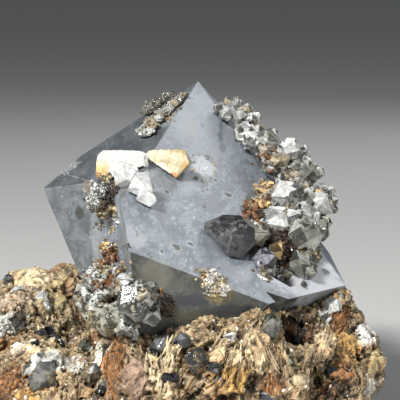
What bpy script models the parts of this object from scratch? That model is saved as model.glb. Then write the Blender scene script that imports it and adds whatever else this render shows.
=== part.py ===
"""A beta quartz crystal, about 50 mm across, leaning back on a block of fibrous matrix rock.

The crystal is a hexagonal dipyramid: flat faces, each given by the way it looks (azimuth about
the crystal's axis, slope from the axis) and by its distance from the tip. Two parallel grown
blocks make it up. Overgrowths are placed in millimetres down and across a crystal face.
All lengths are millimetres until they reach a mesh.
"""
import math
import random

import bmesh
import bpy
from mathutils import Euler, Matrix, Vector, noise

MM = 0.001
GAP = 0.3                 # clearance that touching pieces keep
WELD = 0.001 * MM         # points nearer than this are one point

# main crystal
TIP = Vector((2.4, 23.4, 39.1))          # where the upper faces meet
CRYSTAL_TURN = (-24.2, -23.4, -62.5)     # degrees about X, Y, Z, from the axis upright
FACE_SLOPE = 51.8                        # pyramid faces, measured from the axis
LOW_SLOPE = 180 - FACE_SLOPE
FRONT, UPPER_LEFT = 0, -60               # azimuths of the two faces that carry overgrowths
CRYSTAL_FOOT = 5.5                       # height of the crystal's rough foot over the floor
# azimuth, slope, distance from the tip
UPPER_FACES = [(0, FACE_SLOPE, 0.0), (-60, FACE_SLOPE, 0.0), (60, FACE_SLOPE, 1.4),
               (180, FACE_SLOPE, 0.3), (120, FACE_SLOPE, 0.1), (-98.9, 53.7, 0.0),
               (26, 47.8, 0.0), (60, 63.5, 8.3), (-136.0, 86.0, 5.7), (-149.2, 109.6, 11.6)]
LOWER_FACES = [(0, LOW_SLOPE, 50.7), (60, LOW_SLOPE, 39.8)]
FRONT_BLOCK = [(-113.4, 108.1, 13.4)]
STEP_BLOCK = [(-92.3, 116.4, 25.0)]
LEFT_BLOCK = [(-60, LOW_SLOPE, 32.7)]
BLOCK_STEP = 0.06                        # the side blocks lie this much under the front block

# matrix rock
ROCK_SIZE = (49.4, 60.8)                 # width and depth on the floor
ROCK_VOXEL = 0.6
ROCK_TRIANGLES = 4200


def clear_scene():
    for ob in list(bpy.data.objects):
        bpy.data.objects.remove(ob, do_unlink=True)
    for mesh in list(bpy.data.meshes):
        bpy.data.meshes.remove(mesh)


def material(name, color, roughness, transmission=0.0, ior=1.54):
    mat = bpy.data.materials.new(name)
    mat.use_nodes = True
    bsdf = mat.node_tree.nodes["Principled BSDF"]
    bsdf.inputs["Base Color"].default_value = (*color, 1)
    bsdf.inputs["Roughness"].default_value = roughness
    bsdf.inputs["Metallic"].default_value = 0.0
    bsdf.inputs["Transmission Weight"].default_value = transmission
    bsdf.inputs["IOR"].default_value = ior
    return mat


def new_object(name, bm, collection):
    mesh = bpy.data.meshes.new(name)
    bm.to_mesh(mesh)
    bm.free()
    ob = bpy.data.objects.new(name, mesh)
    collection.objects.link(ob)
    return ob


def turned(degrees):
    return Euler([math.radians(v) for v in degrees]).to_matrix().to_4x4()


CRYSTAL_FRAME = Matrix.Translation(TIP) @ turned(CRYSTAL_TURN)


def look(azimuth, slope):
    a, s = math.radians(azimuth), math.radians(slope)
    return Vector((math.sin(s) * math.cos(a), math.sin(s) * math.sin(a), math.cos(s)))


def on_face(azimuth, across, down, out=0.0, slope=FACE_SLOPE):
    """Frame on a crystal face: x across it, y up it, z straight out; millimetres from the tip."""
    n = look(azimuth, slope)
    x = Vector((0, 0, 1)).cross(n).normalized()
    y = n.cross(x)
    spot = x * across - y * down + n * out
    frame = Matrix((x, y, n)).transposed().to_4x4()
    frame.translation = spot
    return CRYSTAL_FRAME @ frame


def cut_body(planes, size=200.0):
    """Start from a cube and cut it by each (normal, distance) plane, closing every cut flat."""
    bm = bmesh.new()
    bmesh.ops.create_cube(bm, size=size)
    for normal, distance in planes:
        geom = bm.verts[:] + bm.edges[:] + bm.faces[:]
        cut = bmesh.ops.bisect_plane(bm, geom=geom, dist=1e-5, plane_co=normal * distance,
                                     plane_no=normal, clear_outer=True)
        rim = [e for e in cut["geom_cut"] if isinstance(e, bmesh.types.BMEdge)]
        if rim:
            bmesh.ops.edgeloop_fill(bm, edges=rim)
    bmesh.ops.remove_doubles(bm, verts=bm.verts[:], dist=0.005)
    bmesh.ops.recalc_face_normals(bm, faces=bm.faces[:])
    return bm


def quartz(radius, length, seed, squat=1.0, steps=0.12):
    """A small quartz crystal: six prism faces and six uneven faces at each end, along z."""
    rng = random.Random(seed)
    planes = []
    for k in range(6):
        azimuth = 60 * k + rng.uniform(-2, 2)
        planes.append((look(azimuth, 90), radius * (1 + rng.uniform(-steps, steps))))
        reach = (length / 2) * math.sin(math.radians(90 - FACE_SLOPE)) * squat
        for slope in (FACE_SLOPE, LOW_SLOPE):
            planes.append((look(azimuth, slope), reach * (1 + rng.uniform(-2 * steps, steps))))
    return planes


def crystal_bm(planes, frame, gap=0.0):
    bm = cut_body([(n, d + gap) for n, d in planes], size=60.0)
    bmesh.ops.transform(bm, matrix=Matrix.Scale(MM, 4) @ frame, verts=bm.verts[:])
    return bm


def block_bm(own_faces, sunk=0.0, gap=0.0):
    """One grown block of the crystal: the shared faces and its own, cut off at the foot."""
    planes = [(look(a, s), d - sunk + gap) for a, s, d in UPPER_FACES + LOWER_FACES]
    planes += [(look(a, s), d + gap) for a, s, d in own_faces]
    frame = CRYSTAL_FRAME
    down = (frame.to_3x3().inverted() @ Vector((0, 0, -1))).normalized()
    foot = frame.inverted() @ Vector((TIP.x, TIP.y, CRYSTAL_FOOT))
    planes.append((down, foot.dot(down) - sunk + gap))
    bm = cut_body(planes)
    bmesh.ops.transform(bm, matrix=Matrix.Scale(MM, 4) @ frame, verts=bm.verts[:])
    return bm


def lump_bm(frame, radii, seed, rough=0.25, scale=1.6, detail=1):
    """A rounded knob with an uneven skin; scale is the size of its bumps in millimetres."""
    bm = bmesh.new()
    bmesh.ops.create_icosphere(bm, subdivisions=detail, radius=1.0)
    shift = Vector((seed * 7.13, seed * 3.7, seed * 1.9))
    for v in bm.verts:
        p = Vector((v.co.x * radii[0], v.co.y * radii[1], v.co.z * radii[2]))
        bump = noise.noise(p / scale + shift) + 0.5 * noise.noise(p / (scale * 0.45) - shift)
        v.co = (frame @ (p * (1 + rough * bump))) * MM
    return bm


def bake(ob):
    """Put the result of an object's modifiers in its mesh."""
    bpy.context.view_layer.update()
    graph = bpy.context.evaluated_depsgraph_get()
    mesh = bpy.data.meshes.new_from_object(ob.evaluated_get(graph))
    old = ob.data
    ob.modifiers.clear()
    ob.data = mesh
    bpy.data.meshes.remove(old)


def boolean(target, bm, operation, collection):
    """Apply one exact Boolean with a mesh to the target."""
    tool = new_object("tool", bm, collection)
    mod = target.modifiers.new("cut", "BOOLEAN")
    mod.operation = operation
    mod.solver = "EXACT"
    mod.object = tool
    bake(target)
    bpy.data.objects.remove(tool, do_unlink=True)


def grow(name, parts, cutters, collection, mat=None):
    """Grow parts together in one solid, take its neighbours' room out of it and tidy it."""
    ob = new_object(name, parts[0], collection)
    for bm in parts[1:]:
        boolean(ob, bm, "UNION", collection)
    for bm in cutters:
        boolean(ob, bm, "DIFFERENCE", collection)
    tidy_mesh(ob)
    ob.data.name = name
    ob.data.materials.clear()
    if mat:
        ob.data.materials.append(mat)
    return ob


def placed(center, turn=(0, 0, 0)):
    return Matrix.Translation(Vector(center)) @ turned(turn)


def islands(bm):
    """The faces of each connected part of a mesh, largest part first."""
    seen, groups = set(), []
    for face in bm.faces:
        if face in seen:
            continue
        stack, group = [face], []
        seen.add(face)
        while stack:
            here = stack.pop()
            group.append(here)
            near = {f for e in here.edges for f in e.link_faces} - seen
            seen |= near
            stack.extend(near)
        groups.append(group)
    return sorted(groups, key=lambda g: sum(f.calc_area() for f in g), reverse=True)


def tidy_mesh(ob):
    """Weld stray points, drop islands left by a cut, close and face the skin outwards."""
    bm = bmesh.new()
    bm.from_mesh(ob.data)
    bmesh.ops.remove_doubles(bm, verts=bm.verts[:], dist=WELD)
    bmesh.ops.dissolve_degenerate(bm, edges=bm.edges[:], dist=WELD)
    bmesh.ops.triangulate(bm, faces=bm.faces[:])
    for group in islands(bm)[1:]:
        loose = {v for f in group for v in f.verts}
        bmesh.ops.delete(bm, geom=list(loose), context="VERTS")
    bmesh.ops.recalc_face_normals(bm, faces=bm.faces[:])
    bm.to_mesh(ob.data)
    bm.free()


# --- the main crystal ---------------------------------------------------------------------

def pocket_hollow_bm():
    """The hollow low on the front face, where small crystals line the crystal."""
    sides = (3.3, 4.4, 3.4, 3.0, 3.2, 4.0)
    planes = [(look(60 * k + 12, 90), d) for k, d in enumerate(sides)]
    planes += [(Vector((0.12, 0.1, -1)).normalized(), 2.6), (Vector((0, 0, 1)), 3.0)]
    return crystal_bm(planes, on_face(FRONT, 4.6, 42.6))


def notch_bm():
    """A three-sided notch where the low edge of the front face breaks off."""
    planes = [(look(a, 90), d) for a, d in ((95, 0.9), (215, 1.3), (335, 2.2))]
    planes += [(Vector((0, 0, -1)), 2.0), (Vector((0, 0, 1)), 2.0)]
    return crystal_bm(planes, on_face(FRONT, 4.6, 50.4))


def crystal_blocks(gap=0.0):
    return [block_bm(FRONT_BLOCK, 0.0, gap), block_bm(STEP_BLOCK, BLOCK_STEP, gap),
            block_bm(LEFT_BLOCK, 2 * BLOCK_STEP, gap)]


def crystal_cutter(collection, hollows=(pocket_hollow_bm, notch_bm)):
    """The main crystal grown by the clearance, to take out of what touches it."""
    ob = grow("crystal_cutter", crystal_blocks(GAP), [h() for h in hollows], collection)
    bm = bmesh.new()
    bm.from_mesh(ob.data)
    bpy.data.objects.remove(ob, do_unlink=True)
    return bm


def build_crystal(collection):
    mat = material("blue grey quartz", (0.50, 0.54, 0.60), 0.22, 0.35)
    grow("beta_quartz_crystal", crystal_blocks(), [pocket_hollow_bm(), notch_bm()],
         collection, mat)


# --- overgrowths on the crystal -----------------------------------------------------------

WHITE_BLOCK = [  # direction, distance of each face of the blocky white feldspar grain
    ((1, 0.1, 0), 2.9), ((-1, 0.25, 0.1), 2.7), ((0.1, 1, 0.1), 2.1), ((0, -1, 0.1), 1.9),
    ((0.05, 0, 1), 1.6), ((0, 0, -1), 1.9), ((-1, -0.8, -0.9), 2.9), ((1, -0.6, -0.8), 3.0),
    ((-1, 0.2, 1), 2.9), ((1, 0.4, 1), 3.0), ((-0.9, -1, 0.4), 3.0), ((0.9, -1, 0.2), 3.1)]

CREAM_PLATE = [  # the same for the rhomb of cream feldspar
    ((0.10, -0.85, 0.50), 0.9), ((0.10, 0.12, 1.0), 1.9), ((0.75, -0.15, -0.62), 2.2),
    ((-0.25, -0.20, -0.95), 2.4), ((-0.93, -0.10, 0.28), 2.4), ((1.0, -0.10, 0.35), 2.8),
    ((-0.8, 0.1, -0.6), 2.5), ((-0.45, 0.33, -0.83), 1.7), ((-0.1, 0.8, 0.55), 1.0)]

SMOKY_CRYSTAL = [  # the same for the smoky crystal: its point is cut off by the front face
    ((0.55, -0.80, -0.10), 2.6), ((-0.62, -0.72, 0.10), 2.4), ((0.05, -0.55, 0.83), 2.6),
    ((-0.85, -0.20, -0.42), 2.4), ((0.72, -0.20, -0.66), 2.6), ((0.62, -0.10, 0.78), 2.9),
    ((-0.50, -0.10, 0.86), 2.9), ((1, 0, 0), 2.8), ((-1, 0, 0.1), 3.1), ((0, 0, -1), 4.6),
    ((0, 1, 0), 3.0), ((0, 0.65, 0.76), 1.8)]

GLASSY = [  # across, down, out of the front face, radius, length, turn
    (-12.4, 37.8, 0.8, 1.9, 4.6, (60, 20, 15)), (-14.2, 36.8, 0.9, 1.45, 3.8, (75, -40, 0)),
    (-11.8, 39.8, 0.5, 1.2, 3.2, (40, 30, 10))]

PALE = [  # centre, radius, length, turn: crystals in the gap left of the front block
    ((-9.5, -9.9, 27.1), 1.25, 4.4, (18, 14, 10)), ((-8.5, -11.1, 25.8), 0.9, 3.0, (30, -20, 0)),
    ((-10.4, -9.3, 28.3), 0.8, 2.4, (60, 30, 0))]

BROWN = [
    ((-9.1, -9.5, 22.3), 0.8, 2.6, (10, 18, 0)), ((-8.1, -10.8, 21.1), 1.1, 2.6, (60, 20, 30)),
    ((-7.7, -11.2, 19.8), 0.9, 2.8, (15, 20, 40))]


def grain_bm(faces, frame, gap=0.0):
    return crystal_bm([(Vector(n).normalized(), d) for n, d in faces], frame, gap)


def white_feldspar_bm(gap=0.0):
    return grain_bm(WHITE_BLOCK, placed((-6.6, -6.6, 30.5), (4, -3, 6)), gap)


def cream_feldspar_bm(gap=0.0):
    return grain_bm(CREAM_PLATE, placed((-1.5, -5.0, 30.6)), gap)


def smoky_bm(gap=0.0):
    return grain_bm(SMOKY_CRYSTAL, placed((6.1, -15.0, 22.9)), gap)


def crystals_at(specs, seed, gap=0.0):
    return [crystal_bm(quartz(radius, length, seed + i, 1.1), placed(center, turn), gap)
            for i, (center, radius, length, turn) in enumerate(specs)]


def crystals_on_front(specs, seed, gap=0.0):
    return [crystal_bm(quartz(radius, length, seed + i, 1.1),
                       on_face(FRONT, across, down, out) @ turned(turn), gap)
            for i, (across, down, out, radius, length, turn) in enumerate(specs)]


def glassy_parts(gap=0.0):
    return crystals_on_front(GLASSY, 11, gap)


def pale_parts(gap=0.0):
    return crystals_at(PALE, 21, gap)


def brown_parts(gap=0.0):
    return crystals_at(BROWN, 31, gap)


def build_overgrowths(collection):
    """Separate grains and crystals on the front and left of the main crystal."""
    grow("smoky_quartz_crystal", [smoky_bm()], [crystal_cutter(collection)], collection,
         material("smoky quartz", (0.05, 0.05, 0.06), 0.18, 0.3))
    grow("white_feldspar", [white_feldspar_bm()], [crystal_cutter(collection)], collection,
         material("white feldspar", (0.80, 0.76, 0.68), 0.6))
    grow("cream_feldspar_plate", [cream_feldspar_bm()],
         [crystal_cutter(collection), white_feldspar_bm(GAP)], collection,
         material("cream feldspar", (0.72, 0.60, 0.38), 0.6))
    grow("glassy_quartz_crystals", glassy_parts(),
         [crystal_cutter(collection), white_feldspar_bm(GAP), cream_feldspar_bm(GAP)],
         collection, material("glassy quartz", (0.62, 0.64, 0.62), 0.2, 0.35))
    grow("pale_quartz_crystals", pale_parts(),
         [crystal_cutter(collection), white_feldspar_bm(GAP)] + glassy_parts(GAP),
         collection, material("pale quartz", (0.55, 0.54, 0.48), 0.25, 0.3))
    grow("brown_quartz_crystals", brown_parts(),
         [crystal_cutter(collection)] + pale_parts(GAP),
         collection, material("brown stained quartz", (0.45, 0.36, 0.24), 0.35, 0.2))


DRUSE_LUMPS = [  # centre, radii: the rough crust along the right shoulder of the crystal
    ((6.4, 16.6, 35.6), (1.3, 2.0, 1.3)), ((8.4, 15.0, 34.5), (1.7, 2.4, 1.8)),
    ((9.3, 12.5, 32.6), (1.7, 2.6, 1.6)), ((11.0, 10.0, 31.3), (1.8, 2.6, 1.8)),
    ((12.2, 7.0, 29.7), (2.0, 2.8, 2.0)), ((14.1, 9.0, 29.7), (2.0, 3.0, 1.9)),
    ((14.2, 4.5, 27.7), (2.0, 2.8, 2.0)), ((13.2, 2.0, 26.6), (1.9, 2.4, 1.6)),
    ((15.6, 3.0, 25.7), (2.2, 3.0, 1.9)), ((14.4, 0.0, 24.8), (2.3, 2.6, 1.9)),
    ((15.9, -0.8, 23.0), (1.9, 2.4, 1.7)), ((14.9, -3.6, 22.2), (2.1, 2.3, 1.4))]

POCKET_LUMPS = [  # across, down, out of the front face, radii: crust around the hollow
    (8.6, 26.6, 0.5, (1.9, 2.0, 1.1)), (5.9, 28.6, 0.3, (2.0, 1.9, 1.0)),
    (3.8, 31.0, 0.2, (1.8, 1.9, 0.9)), (8.8, 30.2, 0.6, (2.4, 2.3, 1.2)),
    (6.0, 33.0, 0.4, (2.6, 2.3, 1.0)), (10.2, 33.4, 0.5, (2.2, 2.4, 1.1)),
    (3.6, 36.2, 0.2, (2.0, 2.2, 0.9)), (6.6, 36.8, 0.1, (2.6, 2.4, 0.9)),
    (10.4, 37.0, 0.2, (1.9, 2.0, 0.9)), (4.6, 40.4, -1.9, (3.4, 2.8, 0.9)),
    (3.4, 43.4, -1.9, (2.6, 2.8, 0.8)), (7.2, 39.6, -1.2, (2.4, 2.4, 1.1))]

POCKET_CRYSTALS = [  # across, down, out, radius, length, turn
    (3.0, 37.2, 0.7, 1.15, 3.0, (70, -20, 20)), (3.6, 43.0, -0.6, 1.5, 3.6, (35, 15, 35)),
    (8.7, 40.6, 0.2, 1.5, 4.6, (-60, 5, 12)), (5.9, 39.4, -0.2, 1.2, 3.0, (60, 10, 0)),
    (2.9, 46.6, -0.4, 1.1, 2.6, (75, 30, 20)), (7.6, 31.8, 1.2, 1.7, 4.2, (70, 15, 40)),
    (5.2, 29.2, 1.0, 1.1, 2.8, (20, 70, 0)), (9.8, 35.4, 1.0, 1.5, 3.8, (60, 30, 30)),
    (5.8, 25.8, 0.6, 1.05, 2.4, (30, 10, 0)), (10.6, 30.8, 1.2, 1.4, 3.6, (20, 50, 0))]

DRUSE_CRYSTALS = [  # centre, radius, length, turn: the larger crystals grown out of the crust
    ((8.3, 11.6, 32.9), 1.35, 3.4, (20, 40, 0)), ((11.2, 9.6, 32.2), 1.25, 3.0, (10, 25, 20)),
    ((13.6, 8.6, 31.2), 1.30, 3.4, (15, 30, 10)), ((15.3, 8.4, 30.4), 1.20, 3.0, (40, 60, 0)),
    ((16.3, 6.4, 28.5), 1.20, 3.4, (0, 75, 20)), ((14.6, 5.6, 29.6), 1.00, 2.6, (50, 20, 0)),
    ((17.8, 4.6, 26.0), 1.25, 3.2, (20, 60, -10)), ((18.3, 3.4, 24.8), 1.05, 2.8, (70, 40, 0)),
    ((16.7, 0.6, 24.4), 1.30, 3.4, (30, 50, 0)), ((13.3, -0.2, 26.3), 1.55, 4.2, (80, 10, 60)),
    ((15.3, -0.6, 25.2), 1.30, 3.6, (35, 20, 50)), ((12.1, -3.4, 24.3), 1.45, 3.8, (60, 15, 20)),
    ((11.0, 1.2, 26.4), 1.00, 2.4, (30, 10, 0)), ((16.8, -1.8, 22.6), 1.25, 3.2, (25, 45, 0)),
    ((14.3, -5.0, 22.4), 1.30, 3.4, (65, 20, 30)), ((9.3, 14.2, 34.6), 1.00, 2.6, (10, 45, 0)),
    ((7.3, 16.6, 36.0), 0.90, 2.4, (30, 20, 40)), ((9.6, 13.2, 33.2), 0.80, 2.2, (60, 30, 0))]

EDGE_CRUST = [  # across, down on the upper left face, radii
    (1.9, 7.4, (0.9, 1.5, 0.6)), (2.3, 9.8, (1.1, 1.7, 0.7)), (2.7, 12.6, (1.4, 1.9, 0.8)),
    (2.9, 15.4, (1.5, 1.8, 0.8)), (3.4, 18.0, (1.7, 1.7, 0.8)), (4.6, 19.8, (1.3, 1.3, 0.7))]

OUTLINE_LUMPS = [  # centre, radii
    ((-1.2, 17.5, 37.3), (1.2, 1.5, 0.7)), ((-2.4, 16.2, 36.6), (1.4, 1.5, 0.7)),
    ((-3.6, 15.0, 35.8), (1.3, 1.4, 0.8))]

OUTLINE_CRYSTALS = [  # centre, radius, length, turn
    ((-3.9, 15.0, 36.1), 0.65, 1.9, (20, 15, 0)), ((-3.0, 15.6, 36.4), 0.55, 1.6, (40, -20, 0)),
    ((-1.3, 17.3, 37.6), 0.5, 1.4, (50, 20, 10))]


def lumps_on_face(azimuth, spots, seed):
    return [lump_bm(on_face(azimuth, across, down, out), radii, seed + i)
            for i, (across, down, out, radii) in enumerate(spots)]


def lumps_at(spots, seed, grown=0.0, rough=0.25, scale=1.6, detail=1):
    return [lump_bm(placed(center), [r + grown for r in radii], seed + i, rough, scale, detail)
            for i, (center, radii) in enumerate(spots)]


def build_crusts(collection):
    """Crusts of small crystals on the right shoulder, in the hollow and along the edges."""
    parts = lumps_at(DRUSE_LUMPS, 3) + crystals_at(DRUSE_CRYSTALS, 60)
    parts += lumps_on_face(FRONT, POCKET_LUMPS, 23) + crystals_on_front(POCKET_CRYSTALS, 160)
    grow("shoulder_druse", parts, [crystal_cutter(collection), smoky_bm(GAP)], collection,
         material("druse crust", (0.42, 0.36, 0.28), 0.55))
    edge_spots = [(across, down, 0.35, radii) for across, down, radii in EDGE_CRUST]
    grow("edge_crust", lumps_on_face(UPPER_LEFT, edge_spots, 40),
         [crystal_cutter(collection)], collection,
         material("edge crust", (0.45, 0.38, 0.28), 0.6))
    grow("outline_druse", lumps_at(OUTLINE_LUMPS, 58) + crystals_at(OUTLINE_CRYSTALS, 44),
         [crystal_cutter(collection)], collection,
         material("outline druse", (0.46, 0.44, 0.38), 0.5))


# --- crystals between the main crystal and the rock ---------------------------------------

LOWER_GROUP = [  # centre, radius, length, turn
    ((-4.0, -28.0, 17.7), 2.35, 5.0, (62, 18, 25)), ((-5.6, -27.3, 19.3), 1.25, 3.2, (40, 50, 0)),
    ((-7.6, -25.0, 18.4), 1.35, 3.6, (25, -35, 10)), ((-8.8, -23.2, 19.2), 1.30, 3.6, (15, 70, 0)),
    ((-8.6, -24.2, 16.6), 1.45, 4.0, (10, 25, 30)), ((-6.4, -26.6, 16.2), 1.45, 3.6, (50, -10, 0)),
    ((-5.2, -27.6, 14.9), 1.15, 3.0, (20, 60, 20)), ((-10.1, -21.6, 17.2), 1.20, 3.6, (20, 10, 0)),
    ((-6.9, -23.4, 20.2), 1.00, 2.8, (50, 20, 0)), ((-9.6, -20.4, 19.6), 0.95, 2.8, (70, 30, 0))]

LOWER_CORES = [  # centre, radii: what the lower group grows from
    ((-7.0, -24.2, 15.6), (2.9, 3.0, 3.0)), ((-8.6, -20.8, 15.8), (2.2, 3.2, 2.8))]

ROCK_CRYSTALS = {  # centre, radius, length, turn: dark and grey crystals held by the rock
    "smoky_crystal_front": ((2.4, -28.9, 11.3), 1.7, 3.6, (70, 25, 20)),
    "smoky_crystal_left": ((-9.2, -27.6, 9.6), 1.0, 3.2, (20, 12, 0)),
    "grey_crystal_left": ((-14.3, -26.4, 8.6), 2.2, 5.0, (75, 40, 10)),
    "grey_crystal_ledge": ((10.4, -26.2, 14.2), 0.9, 3.0, (8, 4, 20))}

SMOKY = (0.09, 0.09, 0.10)
GREY = (0.45, 0.45, 0.43)


def lower_group_parts(gap=0.0):
    return lumps_at(LOWER_CORES, 71, gap, 0.15, 2.5) + crystals_at(LOWER_GROUP, 80, gap)


def rock_crystal_parts(name, gap=0.0):
    return crystals_at([ROCK_CRYSTALS[name]], 90 + len(name), gap)


def build_rock_crystals(collection):
    grow("lower_quartz_group", lower_group_parts(),
         [crystal_cutter(collection)] + brown_parts(GAP), collection,
         material("lower quartz group", (0.50, 0.50, 0.45), 0.22, 0.3))
    for name in ROCK_CRYSTALS:
        color = SMOKY if name.startswith("smoky") else GREY
        grow(name, rock_crystal_parts(name), [], collection, material(name, color, 0.2, 0.3))


# --- matrix rock --------------------------------------------------------------------------

ROCK_LUMPS = [  # centre, radii
    ((0.0, 1.0, 3.0), (25.5, 30.5, 9.0)),
    ((-15.0, -19.0, 5.0), (10.0, 10.5, 6.6)), ((-7.0, -22.5, 6.0), (8.0, 7.5, 7.4)),
    ((-4.5, -25.0, 7.0), (4.6, 4.8, 7.6)), ((-0.6, -24.5, 7.8), (6.0, 5.6, 6.7)),
    ((5.6, -24.5, 8.2), (5.4, 5.6, 7.1)), ((9.2, -22.8, 9.4), (4.0, 5.6, 7.4)),
    ((13.0, -20.0, 6.0), (7.0, 8.0, 8.6)), ((16.5, -17.0, 5.0), (7.0, 9.0, 7.5)),
    ((-17.5, -2.5, 8.6), (6.6, 8.0, 9.0)), ((-14.5, 0.5, 10.0), (5.0, 7.0, 8.0)),
    ((-20.0, -9.5, 7.4), (5.5, 7.5, 8.0)), ((-18.5, 9.0, 8.0), (7.0, 9.0, 8.0)),
    ((19.4, -9.6, 9.0), (2.6, 3.6, 7.6)), ((21.4, -12.0, 8.0), (4.3, 5.5, 4.8)),
    ((21.0, -3.0, 6.5), (3.8, 8.0, 6.2)), ((20.0, 9.0, 6.5), (5.0, 9.0, 7.0)),
    ((-11.0, 21.0, 7.5), (10.0, 8.5, 7.5)), ((2.0, 24.0, 7.5), (11.0, 6.5, 8.5)),
    ((13.0, 20.0, 7.0), (9.5, 9.0, 7.5)),
    ((17.2, -13.0, 12.9), (3.4, 3.0, 3.2)), ((19.9, -11.0, 14.4), (1.8, 2.2, 2.6)),
    ((14.1, -16.5, 12.6), (3.4, 3.0, 2.8)), ((21.2, -11.0, 11.4), (2.2, 3.0, 3.0))]

ROCK_HOLLOWS = [  # centre, radii: dark hollows in the front of the rock
    ((15.0, -23.2, 14.4), (3.8, 4.6, 3.2)), ((-1.4, -27.4, 16.6), (1.6, 2.2, 1.5)),
    ((-9.5, -28.6, 3.0), (3.0, 2.6, 2.0)), ((8.0, -30.5, 5.0), (1.6, 2.4, 3.0)),
    ((-18.0, -14.5, 13.0), (2.4, 3.0, 1.6)), ((17.0, -25.5, 8.0), (2.0, 2.6, 2.4))]

LEDGE_BLOCK = 3.6          # size of the broken blocks in the rock's skin
FIBRE_WIDTH = 1.9          # width of the upright fibre bundles on the front


def rock_skin(p):
    """Offset of the rock's skin at a point, in millimetres: lumps, ledges and upright fibres."""
    broad = 1.0 * noise.noise(p / 7.0 + Vector((3, 8, 1)))
    warp = Vector((noise.noise(p / 4.0), noise.noise(p / 4.0 + Vector((9, 2, 5))), 0)) * 1.2
    q = (p + warp) / LEDGE_BLOCK
    near = noise.voronoi(q)[1][0]
    ledge = 1.1 * noise.cell(near * 3.1 + Vector((0.37, 0.11, 0.73))) - 0.5
    lean = 0.45 * (q - near).dot(Vector((0.6, 0.3, 0.8))) * noise.noise(near * 2.3)
    column = Vector((p.x / FIBRE_WIDTH + 0.14 * p.z, p.y / FIBRE_WIDTH, p.z / 8.0))
    front = max(0.0, min(1.0, (-14.0 - p.y) / 8.0))
    return broad + ledge + lean * 2.0 + front * 0.7 * noise.noise(column)


def rock_mass_bm():
    """Every lump of the rock in one mesh, still overlapping."""
    bm = bmesh.new()
    for lump in lumps_at(ROCK_LUMPS, 100, 0.0, 0.12, 5.0, 3):
        extra = bpy.data.meshes.new("lump")
        lump.to_mesh(extra)
        lump.free()
        bm.from_mesh(extra)
        bpy.data.meshes.remove(extra)
    return bm


def even_skin(ob):
    """Fuse overlapping lumps into one skin of even, small faces."""
    remesh = ob.modifiers.new("even skin", "REMESH")
    remesh.mode = "VOXEL"
    remesh.voxel_size = ROCK_VOXEL * MM
    bake(ob)


def fewer_faces(ob, triangles):
    quads = len(ob.data.polygons)
    few = ob.modifiers.new("fewer faces", "DECIMATE")
    few.ratio = min(1.0, triangles / (2.0 * quads))
    bake(ob)


def fit_plan(ob):
    """Bring the rock to its width and depth, and cut it flat at the floor."""
    bm = bmesh.new()
    bm.from_mesh(ob.data)
    cut = bmesh.ops.bisect_plane(bm, geom=bm.verts[:] + bm.edges[:] + bm.faces[:], dist=1e-7,
                                 plane_co=(0, 0, 0), plane_no=(0, 0, -1), clear_outer=True)
    rim = [e for e in cut["geom_cut"] if isinstance(e, bmesh.types.BMEdge)]
    bmesh.ops.edgeloop_fill(bm, edges=rim)
    for axis, half in ((0, ROCK_SIZE[0] / 2), (1, ROCK_SIZE[1] / 2)):
        low = min(v.co[axis] for v in bm.verts)
        high = max(v.co[axis] for v in bm.verts)
        for v in bm.verts:
            v.co[axis] = ((v.co[axis] - low) / (high - low) * 2 - 1) * half * MM
    bm.to_mesh(ob.data)
    bm.free()


def build_rock(collection):
    ob = new_object("rock_mass", rock_mass_bm(), collection)
    even_skin(ob)
    for v in ob.data.vertices:
        v.co += v.normal * rock_skin(v.co / MM) * MM
    even_skin(ob)
    for hollow in lumps_at(ROCK_HOLLOWS, 130, 0.0, 0.2, 2.0, 3):
        boolean(ob, hollow, "DIFFERENCE", collection)
    even_skin(ob)
    fewer_faces(ob, ROCK_TRIANGLES)
    fit_plan(ob)
    mass = bmesh.new()
    mass.from_mesh(ob.data)
    bpy.data.objects.remove(ob, do_unlink=True)
    neighbours = [crystal_cutter(collection, ())] + lower_group_parts(GAP)
    for name in ROCK_CRYSTALS:
        neighbours += rock_crystal_parts(name, GAP)
    grow("matrix_rock", [mass], neighbours, collection,
         material("fibrous matrix rock", (0.48, 0.34, 0.19), 0.8))


def main():
    clear_scene()
    collection = bpy.data.collections.new("beta_quartz_specimen")
    bpy.context.scene.collection.children.link(collection)
    build_crystal(collection)
    build_overgrowths(collection)
    build_crusts(collection)
    build_rock_crystals(collection)
    build_rock(collection)


main()
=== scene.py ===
# %% [markdown]
# # A beta quartz crystal on its matrix
# The specimen is one large six-sided double pyramid of quartz that leans back on a block of
# fibrous volcanic rock. The solids give the main shapes. Here they get what is smaller: the
# broken skin and the fibres of the rock, the crusts of tiny crystals, and all the finishes.

# %% The frame and the tools
import math
import random

import bpy
import numpy as np
from mathutils import Euler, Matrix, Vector, noise
from mathutils.bvhtree import BVHTree


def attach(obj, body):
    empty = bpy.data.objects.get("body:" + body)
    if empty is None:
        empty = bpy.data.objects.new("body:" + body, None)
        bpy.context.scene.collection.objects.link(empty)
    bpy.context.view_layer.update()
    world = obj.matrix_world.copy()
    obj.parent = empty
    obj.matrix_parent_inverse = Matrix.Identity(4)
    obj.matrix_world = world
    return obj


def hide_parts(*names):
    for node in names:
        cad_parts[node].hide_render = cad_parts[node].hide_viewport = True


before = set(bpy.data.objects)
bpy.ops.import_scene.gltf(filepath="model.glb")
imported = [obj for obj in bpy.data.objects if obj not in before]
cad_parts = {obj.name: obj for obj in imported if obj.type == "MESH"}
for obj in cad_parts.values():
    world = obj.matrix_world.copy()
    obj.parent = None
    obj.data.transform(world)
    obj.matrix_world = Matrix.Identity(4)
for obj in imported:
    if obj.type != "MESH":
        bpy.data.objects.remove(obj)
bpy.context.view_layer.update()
MM = 0.001
NOISE_SEED = 4  # without a seed, one kind of noise differs from run to run
noise.seed_set(NOISE_SEED)
print("solids:", ", ".join(sorted(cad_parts)))


# %% [markdown]
# The camera stands as far off as the length of a long lens asks, so that the crystal's edges
# run nearly parallel. It looks down a little.

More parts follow.
